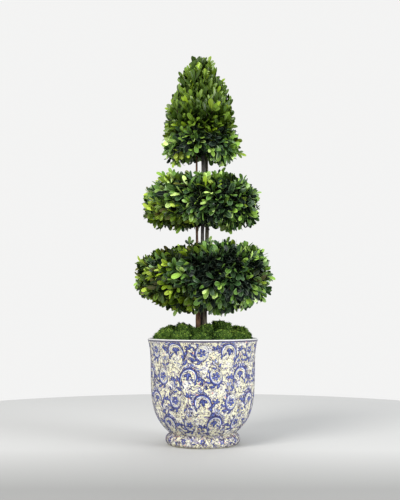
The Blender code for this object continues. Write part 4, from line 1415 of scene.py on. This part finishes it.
def bough_paths(tier, rng):
    """Limbs from the stems out to the places inside a tier that its twigs grow from."""
    small = dict(tier)
    small["radius"] = tier["radius"] - BOUGH_INSETS["radius"]
    for half in ("up", "down"):
        small[half] = (tier[half][0] - BOUGH_INSETS[half], *tier[half][1:])
    stems = [name for name, stem in STEMS.items() if stem.top > min(0.6, tier["level"] + 0.02)]
    paths, hubs = [], []
    for i, spot in enumerate(spray_spots(small, tier["boughs"])):
        name = stems[i % len(stems)]
        level = min(spot.point.z - BOUGH_RISE, STEMS[name].top - 0.004)
        level = max(level, tier["level"] - tier["down"][0] + BOUGH_RISE)
        x, y, _ = stem_section(name, level)
        start = Vector((x, y, level))
        middle = start.lerp(spot.point, 0.5) + Vector((rng.uniform(-1, 1), rng.uniform(-1, 1), 1.0)) * 0.003
        paths.append(curve_through([start, middle, spot.point], 7))
        hubs += [spot.point, start.lerp(spot.point, 0.75)]
    return paths, hubs


def build_tier(name, tier, looks, wood):
    """One tier: its leaves, a piece for each tint, its twigs and its boughs."""
    rng = random.Random(tier["seed"])
    paths, hubs = bough_paths(tier, rng)
    leaves, twigs = {}, []
    for spot in spray_spots(tier, tier["sprays"]):
        grow_spray(tier, rng, spot, hubs, leaves, twigs)
    loose_leaves(name, rng, hubs, leaves, twigs)
    for tint, rows in sorted(leaves.items()):
        add_piece(leaf_mesh(f"{name}_leaves_{tint}", rows), looks[tint], "foliage", tier["node"])
    mesh = tube_mesh(name + "_twigs", [curve_through(points, 6) for points in twigs], *TWIG_SIZES, 4)
    add_piece(mesh, wood, "bark", tier["node"])
    mesh = tube_mesh(name + "_boughs", paths, *BOUGH_SIZES, 8)
    add_piece(mesh, wood, "bark", tier["node"])


def build_foliage():
    looks = {name: leaf_look(name, tint) for name, tint in LEAF_TINTS.items()}
    wood = bark_look(TWIG_BARK)
    for name, tier in TIERS.items():
        build_tier(name, tier, looks, wood)


# --- moss ---

def moss_cushions():
    """Each cushion's name, place, direction from the middle, half widths and top."""
    rings = (
        ("inner", INNER_MOSS_TOPS, INNER_MOSS_RING, INNER_MOSS_TURN, INNER_MOSS_SIZE),
        ("outer", OUTER_MOSS_TOPS, OUTER_MOSS_RING, OUTER_MOSS_TURN, OUTER_MOSS_SIZE),
    )
    cushions = []
    for ring, tops, radius, turn, size in rings:
        for i, top in enumerate(tops):
            cushions.append((f"moss_{ring}_{i + 1}", radius, math.tau * i / len(tops) + turn, size, top))
    return cushions


def cushion_value(points, cushion):
    """How far out of a cushion's middle points lie: 1 on its even surface."""
    _, ring, angle, (deep, wide), top = cushion
    x = points[..., 0] - ring * math.cos(angle)
    y = points[..., 1] - ring * math.sin(angle)
    out = (x * math.cos(angle) + y * math.sin(angle)) / deep
    across = (y * math.cos(angle) - x * math.sin(angle)) / wide
    up = (points[..., 2] - MOSS_FOOT) / (top - MOSS_FOOT)
    return out ** 2 + across ** 2 + up ** 2


def moss_look(name, dark, light):
    look = Nodes("moss_" + name, 0.95, 0.15)
    place = look.place()
    fine = look.noise(place, 520.0, 4.0, 0.7)
    patch = look.noise(place, 60.0, 2.0)
    body = look.mix(look.stretch(0.38, 0.66, fine), linear(dark), linear(light))
    look.colour(look.mix(look.stretch(0.5, 0.8, patch), body, linear(scaled(light, 0.75))))
    look.bump(fine, 0.9, 0.0012)
    return look.material


def from_points(place):
    """How far a place is from the nearest of many scattered points, about 0 to 1."""
    return noise.voronoi(place)[0][0] / 0.50


def lumpy_cushion(number, cushion):
    """A cushion's mesh in place, and how high each of its points stands among its tufts."""
    name, ring, angle, (deep, wide), top = cushion
    bm = bmesh.new()
    bmesh.ops.create_icosphere(bm, subdivisions=5, radius=1.0)
    relief = []
    for vertex in bm.verts:
        way = vertex.co.copy()
        lump = noise.noise(way * 1.9 + Vector((number * 5.0, 0.0, 0.0)))
        tuft = 1.0 - from_points(way * 2.3 + Vector((0.0, number * 3.0, 0.0)))
        small = 0.5 - from_points(way * 6.5 + Vector((number * 3.0, 0.0, 0.0)))
        rough = noise.noise(way * 5.5 + Vector((0.0, 0.0, number * 2.0)))
        fuzz = noise.noise(way * 21.0 + Vector((0.0, 0.0, number)))
        relief.append(tuft + 0.8 * small + 0.9 * rough)
        for *spot, rise in MOSS_BUMPS.get(name, ()):
            lump += rise * math.exp(-((way - Vector(spot)).length / MOSS_BUMP_WIDTH) ** 2)
        grow = 0.955 + 0.110 * lump + 0.080 * max(-0.5, tuft)
        grow = grow + 0.050 * small + 0.090 * rough + 0.030 * fuzz
        vertex.co = Vector((way.x * deep, way.y * wide, way.z * (top - MOSS_FOOT))) * grow
    move = Matrix.Translation((ring * math.cos(angle), ring * math.sin(angle), MOSS_FOOT))
    bmesh.ops.transform(bm, matrix=move @ Matrix.Rotation(angle, 4, "Z"), verts=bm.verts)
    return bm, relief


def cut_hidden(bm, others):
    """Take away what is under the moss's foot, inside another cushion or past the pot's inside."""
    middles = np.array([tuple(face.calc_center_median()) for face in bm.faces])
    spare = middles[:, 2] < MOSS_FOOT - 0.001
    for other in others:
        spare |= cushion_value(middles, other) < 0.74
    spare |= np.hypot(middles[:, 0], middles[:, 1]) > RIM_RADIUS - WALL - 0.0005
    bm.faces.ensure_lookup_table()
    bmesh.ops.delete(bm, geom=[face for face, out in zip(bm.faces, spare) if out], context="FACES")


def sow_shoots(bm, relief, top, others, rng, shoots):
    """Tufts scattered over a cushion, tinted by painted light and shade: brightest on its crests, deepest
    down between cushions.
    """
    faces = list(bm.faces)
    areas = np.array([face.calc_area() for face in faces])
    count = int(areas.sum() / SHOOT_AREA)
    for index in rng.choice(len(faces), size=count, p=areas / areas.sum()):
        face = faces[index]
        place = np.array(face.calc_center_median()) + rng.normal(0.0, 0.0006, 3)
        way = np.array(face.normal) + rng.normal(0.0, 0.42, 3)
        height = (place[2] - MOSS_FOOT) / (top - MOSS_FOOT)
        outer = math.hypot(place[0], place[1]) / RIM_RADIUS
        near = min(cushion_value(place, other) for other in others)
        # Painted light on high, upward and crested spots, near the rim and at the left and right; painted
        # shade in the crevices between cushions.
        light = 0.40 * height + 0.12 * outer + 0.28 * face.normal.z + 0.42 * relief[face.verts[0].index]
        light += 0.34 * abs(place[0]) / RIM_RADIUS
        light += rng.normal(0.0, 0.10) - 0.85 * max(0.0, 1.0 - (near - 0.70) / 0.50)
        kind = "bright" if light > 0.78 else "green" if light > 0.46 else "deep"
        shoots[kind].append((*place, *(way / np.linalg.norm(way))))


def build_moss():
    """Lumpy cushions, each its own piece, with short shoots over all of them."""
    rng = np.random.default_rng(5)
    cushions = moss_cushions()
    body_look = moss_look("body", *MOSS_BODY)
    shoots = {kind: [] for kind in SHOOT_TINTS}
    for number, cushion in enumerate(cushions):
        name, top = cushion[0], cushion[-1]
        others = [other for other in cushions if other is not cushion]
        bm, relief = lumpy_cushion(number, cushion)
        cut_hidden(bm, others)
        sow_shoots(bm, relief, top, others, rng, shoots)
        mesh = mesh_of(name + "_cushion", bm)
        mesh.shade_smooth()
        add_piece(mesh, body_look, "moss", name)
    for kind, rows in shoots.items():
        mesh = shoot_mesh("moss_shoots_" + kind, np.array(rows), rng)
        look = moss_look(kind, scaled(SHOOT_TINTS[kind], 0.8), SHOOT_TINTS[kind])
        add_piece(mesh, look, "moss")


def shoot_mesh(name, rows, rng):
    """Short bent blades, two to a tuft."""
    blades = np.repeat(rows, 2, axis=0)
    count = len(blades)
    root, way = blades[:, :3], blades[:, 3:] + rng.normal(0.0, 0.35, (count, 3))
    way /= np.linalg.norm(way, axis=1, keepdims=True)
    side = np.cross(way, rng.normal(0.0, 1.0, (count, 3)))
    side /= np.linalg.norm(side, axis=1, keepdims=True)
    droop = np.cross(side, way) * rng.uniform(-0.5, 0.5, (count, 1))
    length = rng.uniform(0.0022, 0.0042, (count, 1))
    aside = side * rng.uniform(0.00035, 0.00060, (count, 1))
    root = root - way * 0.0006
    middle = root + way * length * 0.55
    tip = root + (way + droop * 0.6) * length
    points = np.stack([root - aside, root + aside, middle + aside, middle - aside, tip], axis=1)
    step = (np.arange(count) * 5)[:, None]
    faces = np.concatenate([step + np.array(face) for face in ((0, 1, 2), (0, 2, 3), (3, 2, 4))])
    return make_mesh(name, points.reshape(-1, 3), faces)


def finish_filling():
    """Earth for the filling's own mesh, which shows only between the cushions."""
    look = Nodes("planting_fill", 0.95, 0.1)
    grain = look.noise(look.place(), 300.0, 5.0, 0.7)
    share = look.stretch(0.35, 0.65, grain)
    look.colour(look.mix(share, linear((0.12, 0.08, 0.05)), linear((0.34, 0.26, 0.18))))
    look.bump(grain, 0.8, 0.002)
    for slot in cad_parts["planting_fill"].material_slots:
        slot.material = look.material


def main():
    bpy.context.scene.view_settings.view_transform = "Standard"
    set_camera()
    set_world()
    for name, lamp in LAMPS.items():
        add_lamp(name, *lamp)
    add_floor()
    build_pot()
    build_pattern()
    finish_filling()
    build_moss()
    build_stems()
    build_foliage()
    sizes = {"cad": CAD_BOX, "visual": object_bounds()}
    plain = {key: [[float(c) for c in corner] for corner in box] for key, box in sizes.items()}


main()
